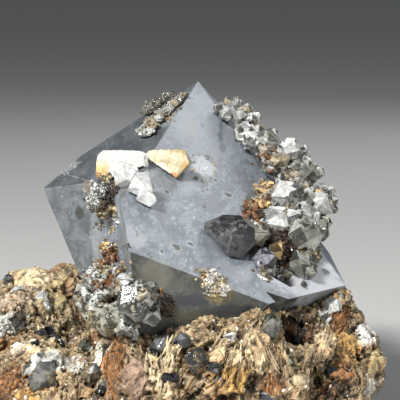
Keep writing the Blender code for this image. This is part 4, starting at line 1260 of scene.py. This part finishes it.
def gems(places, tree, seed, sunk=0.15):
    """Crystals that sit a little sunk where the lines of sight meet a skin."""
    rng = np.random.default_rng(seed)
    specs = []
    for across, down, length, tint in places:
        at, out = seen(tree, across, down)
        specs.append((tuple(at - out * sunk * length), 0.36 * length, length,
                      tuple(rng.uniform(0, 180, 3)), tint))
    return specs


cluster("rock_crystals", gems(ROCK_GEMS, ROCK_TREE, 81), 82, 2)
clear_finish = crystal_glass("clear_shoulder_quartz", 0.55, (0.02, 0.07), 0.03, 0.72, True)
cluster("shoulder_clear_crystals",
        gems(DRUSE_GEMS, skin_tree(druse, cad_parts["shoulder_druse"]), 83, 0.0), 84,
        2, clear_finish)


# %% [markdown]
# Crumbs of other minerals lie on the big crystal: a rim of grains round the frosted patch, a
# yellow crust at the low edge, and cream and black-brown bits in the gap left of the front
# block, the black-brown ones painted shade there. Others fill the brown gaps of the shoulder
# and the rock's right edge, some of them black-brown as painted shade.

# %% Crumbs on the big crystal
CRUMBS = [  # across and down in the camera's picture, spread in points, number, size, tint
    (193, 162, 1.4, 10, 0.26, STRAW), (192, 170, 1.4, 10, 0.26, CREAM),
    (196, 178, 1.4, 12, 0.26, STRAW), (203, 182, 1.6, 12, 0.26, CREAM),
    (211, 180, 1.6, 12, 0.26, MILK), (215, 172, 1.4, 10, 0.26, STRAW),
    (214, 163, 1.4, 10, 0.26, CREAM), (207, 156, 1.6, 10, 0.26, STRAW),
    (199, 155, 1.4, 8, 0.26, MILK), (203, 168, 4, 26, 0.22, PALE),
    (204, 275, 2.5, 20, 0.5, ORANGE), (213, 279, 4, 150, 0.6, SNOW),
    (216, 285, 4, 170, 0.6, CREAM), (222, 290, 3, 90, 0.6, SNOW), (219, 282, 3, 50, 0.5, AMBER),
    (210, 287, 3, 60, 0.5, MILK), (197, 273, 3, 16, 0.4, CREAM), (168, 116, 3, 40, 0.45, CREAM),
    (178, 107, 2.0, 34, 0.36, STRAW), (62, 171, 3, 24, 0.24, MILK), (72, 165, 3, 20, 0.22, MILK),
    (12, 326, 4, 30, 0.9, ICE), (30, 328, 5, 40, 0.9, TAN), (50, 328, 5, 40, 0.9, CREAM),
    (70, 328, 5, 40, 0.9, TAN), (142, 176, 2.0, 26, 0.5, RUSTY),
    (128, 246, 1.5, 12, 0.3, INK), (137, 232, 3, 14, 0.26, MILK),
    (113, 190, 3, 34, 0.8, DARK_BROWN_SHADE), (107, 198, 3, 34, 0.8, DARK_BROWN_SHADE), (102, 206, 2.5, 26, 0.7, BROWN),
    (118, 181, 3, 14, 0.7, ORANGE), (107, 178, 3, 14, 0.7, CREAM), (112, 210, 3, 30, 0.8, CREAM),
    (116, 219, 2.5, 22, 0.7, MILK), (104, 214, 2.5, 18, 0.6, CREAM), (94, 200, 4, 34, 0.8, MILK),
    (99, 190, 4, 34, 0.8, CLEAR), (100, 226, 3, 18, 0.5, STRAW), (112, 228, 2, 12, 0.5, CREAM),
    (104, 246, 2.5, 22, 0.6, ORANGE), (111, 255, 3, 34, 0.8, RUSTY), (115, 248, 2, 18, 0.6, TAN),
    (106, 262, 3, 26, 0.7, RUSTY), (100, 268, 4, 30, 0.7, CREAM), (93, 273, 4, 26, 0.7, MILK),
    (122, 268, 2.5, 22, 0.7, ORANGE), (158, 297, 2.5, 30, 0.8, RUSTY),
    (161, 302, 3.5, 60, 0.9, DARK_BROWN_SHADE), (166, 308, 3.5, 50, 0.9, BROWN), (97, 283, 4, 24, 0.6, RUSTY),
    (246, 215, 3, 40, 0.6, RUSTY), (254, 209, 3, 50, 0.6, TAN), (262, 204, 3, 50, 0.6, CREAM),
    (270, 199, 3, 30, 0.6, RUSTY), (262, 232, 5, 60, 0.7, RUSTY), (272, 241, 6, 60, 0.7, DARK_BROWN_SHADE),
    (284, 233, 5, 40, 0.6, RUSTY), (259, 262, 4, 40, 0.6, RUSTY), (284, 256, 5, 40, 0.6, BROWN),
    (305, 250, 4, 40, 0.7, ORANGE), (233, 113, 3, 24, 0.5, RUSTY), (268, 157, 6, 40, 0.6, RUSTY),
    (284, 168, 4, 40, 0.6, BROWN), (349, 291, 2.0, 50, 1.2, GOLD), (346, 298, 2.5, 50, 1.2, TAN),
    (350, 304, 2, 30, 1.0, CREAM)]


def crumbs(tree):
    """Turns, places and tints of the crumbs, thrown round each named point of the picture."""
    rng = np.random.default_rng(91)
    places, tints = [], []
    for across, down, spread, number, size, tint in CRUMBS:
        for _ in range(number):
            at, out = seen(tree, *rng.normal((across, down), spread))
            turn = own_turn(rng.uniform(0, 180, 3))
            if at is not None:
                places.append((turn * size * rng.uniform(0.5, 1.3, 3), at - out * 0.05 * size))
                tints.append(np.array(tint) * rng.uniform(0.6, 1.25))
    return places, np.array(tints)


bearers = [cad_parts[node] for node in (
    "beta_quartz_crystal", "white_feldspar", "pale_quartz_crystals", "brown_quartz_crystals")]
crumb_places, crumb_tints = crumbs(skin_tree(lower_crust, druse, outline_crust, front_rock,
                                             back_rock, *bearers))
bits = strewn("crumbs_on_the_crystal", GRAINS, crumb_places, crumb_tints, grain_finish)
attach(bits, "root")


# %% [markdown]
# Feldspar breaks along flat, stepped cleavage planes. The white block and the cream plate
# are carved as low steps, with orange-brown stains at their lower corners and edges.

# %% Feldspars
def feldspar_material(name, body, deep, stains):
    """Milky feldspar in two tints, with fine veins and named stains."""
    mat, tree, shader = new_material(name)
    place = coordinate(tree)
    cloud = ramp(tree, noise_value(tree, place, 500, 5, 0.65), 0.40, 0.62)
    color = blend_color(tree, cloud, deep, body)
    vein = ramp(tree, noise_value(tree, place, 1300, 3, 0.6, 1.5), 0.58, 0.66, 0.0, 0.35)
    color = blend_color(tree, vein, color, tuple(c * 0.55 for c in deep))
    tree.links.new(spotted(tree, color, stains), shader.inputs["Base Color"])
    tree.links.new(ramp(tree, cloud, 0, 1, 0.32, 0.5), shader.inputs["Roughness"])
    shader.inputs["Subsurface Weight"].default_value = 0.12
    shader.inputs["Subsurface Radius"].default_value = (0.0008, 0.0006, 0.0004)
    shader.inputs["Subsurface Scale"].default_value = 1.0
    bump(tree, shader, noise_value(tree, place, 1800, 4, 0.6), 0.10)
    return mat


FELDSPAR_VOXEL = 0.11  # millimetres


def carve_steps(node, name, mat, rise, run):
    """A feldspar's skin broken into low steps, with smaller steps on them."""
    ob = copy_solid(node, name, FELDSPAR_VOXEL)
    points, normals = read_points(ob)
    height = rise * chips(points, run, 4.0, 0.35)
    height += 0.4 * rise * chips(points, run * 0.35, 9.0, 0.8)
    move_points(ob, points + normals * height[:, None])
    ob.data.materials.append(mat)
    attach(ob, "root")
    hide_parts(node)
    print(name, len(ob.data.polygons), "faces")


white_finish = feldspar_material(
    "white_feldspar", (0.93, 0.93, 0.90), (0.86, 0.83, 0.75),
    [((-9.0, -8.2, 29.4), (1.4, 1.6, 1.6), (0.72, 0.36, 0.10), 0.9),
     ((-3.6, -8.4, 29.2), (1.0, 1.2, 0.6), (0.46, 0.20, 0.07), 0.8),
     ((-8.9, -8.4, 30.6), (0.9, 1.2, 1.4), (0.86, 0.62, 0.28), 0.6)])
carve_steps("white_feldspar", "white_feldspar_block", white_finish, 0.16, 1.5)
cream_finish = feldspar_material(
    "cream_feldspar", (0.72, 0.66, 0.48), (0.50, 0.42, 0.24),
    [((-0.2, -4.0, 32.1), (2.6, 1.6, 0.7), (0.44, 0.33, 0.15), 0.7),
     ((-2.4, -6.4, 30.2), (1.5, 1.2, 0.9), (0.86, 0.82, 0.70), 0.8),
     ((-0.6, -6.8, 29.3), (1.6, 1.0, 0.45), (0.52, 0.22, 0.06), 0.8),
     ((0.9, -6.0, 30.4), (0.5, 1.0, 0.9), (0.60, 0.34, 0.10), 0.7)])
carve_steps("cream_feldspar_plate", "cream_feldspar_sheet", cream_finish,
            0.14, 1.2)
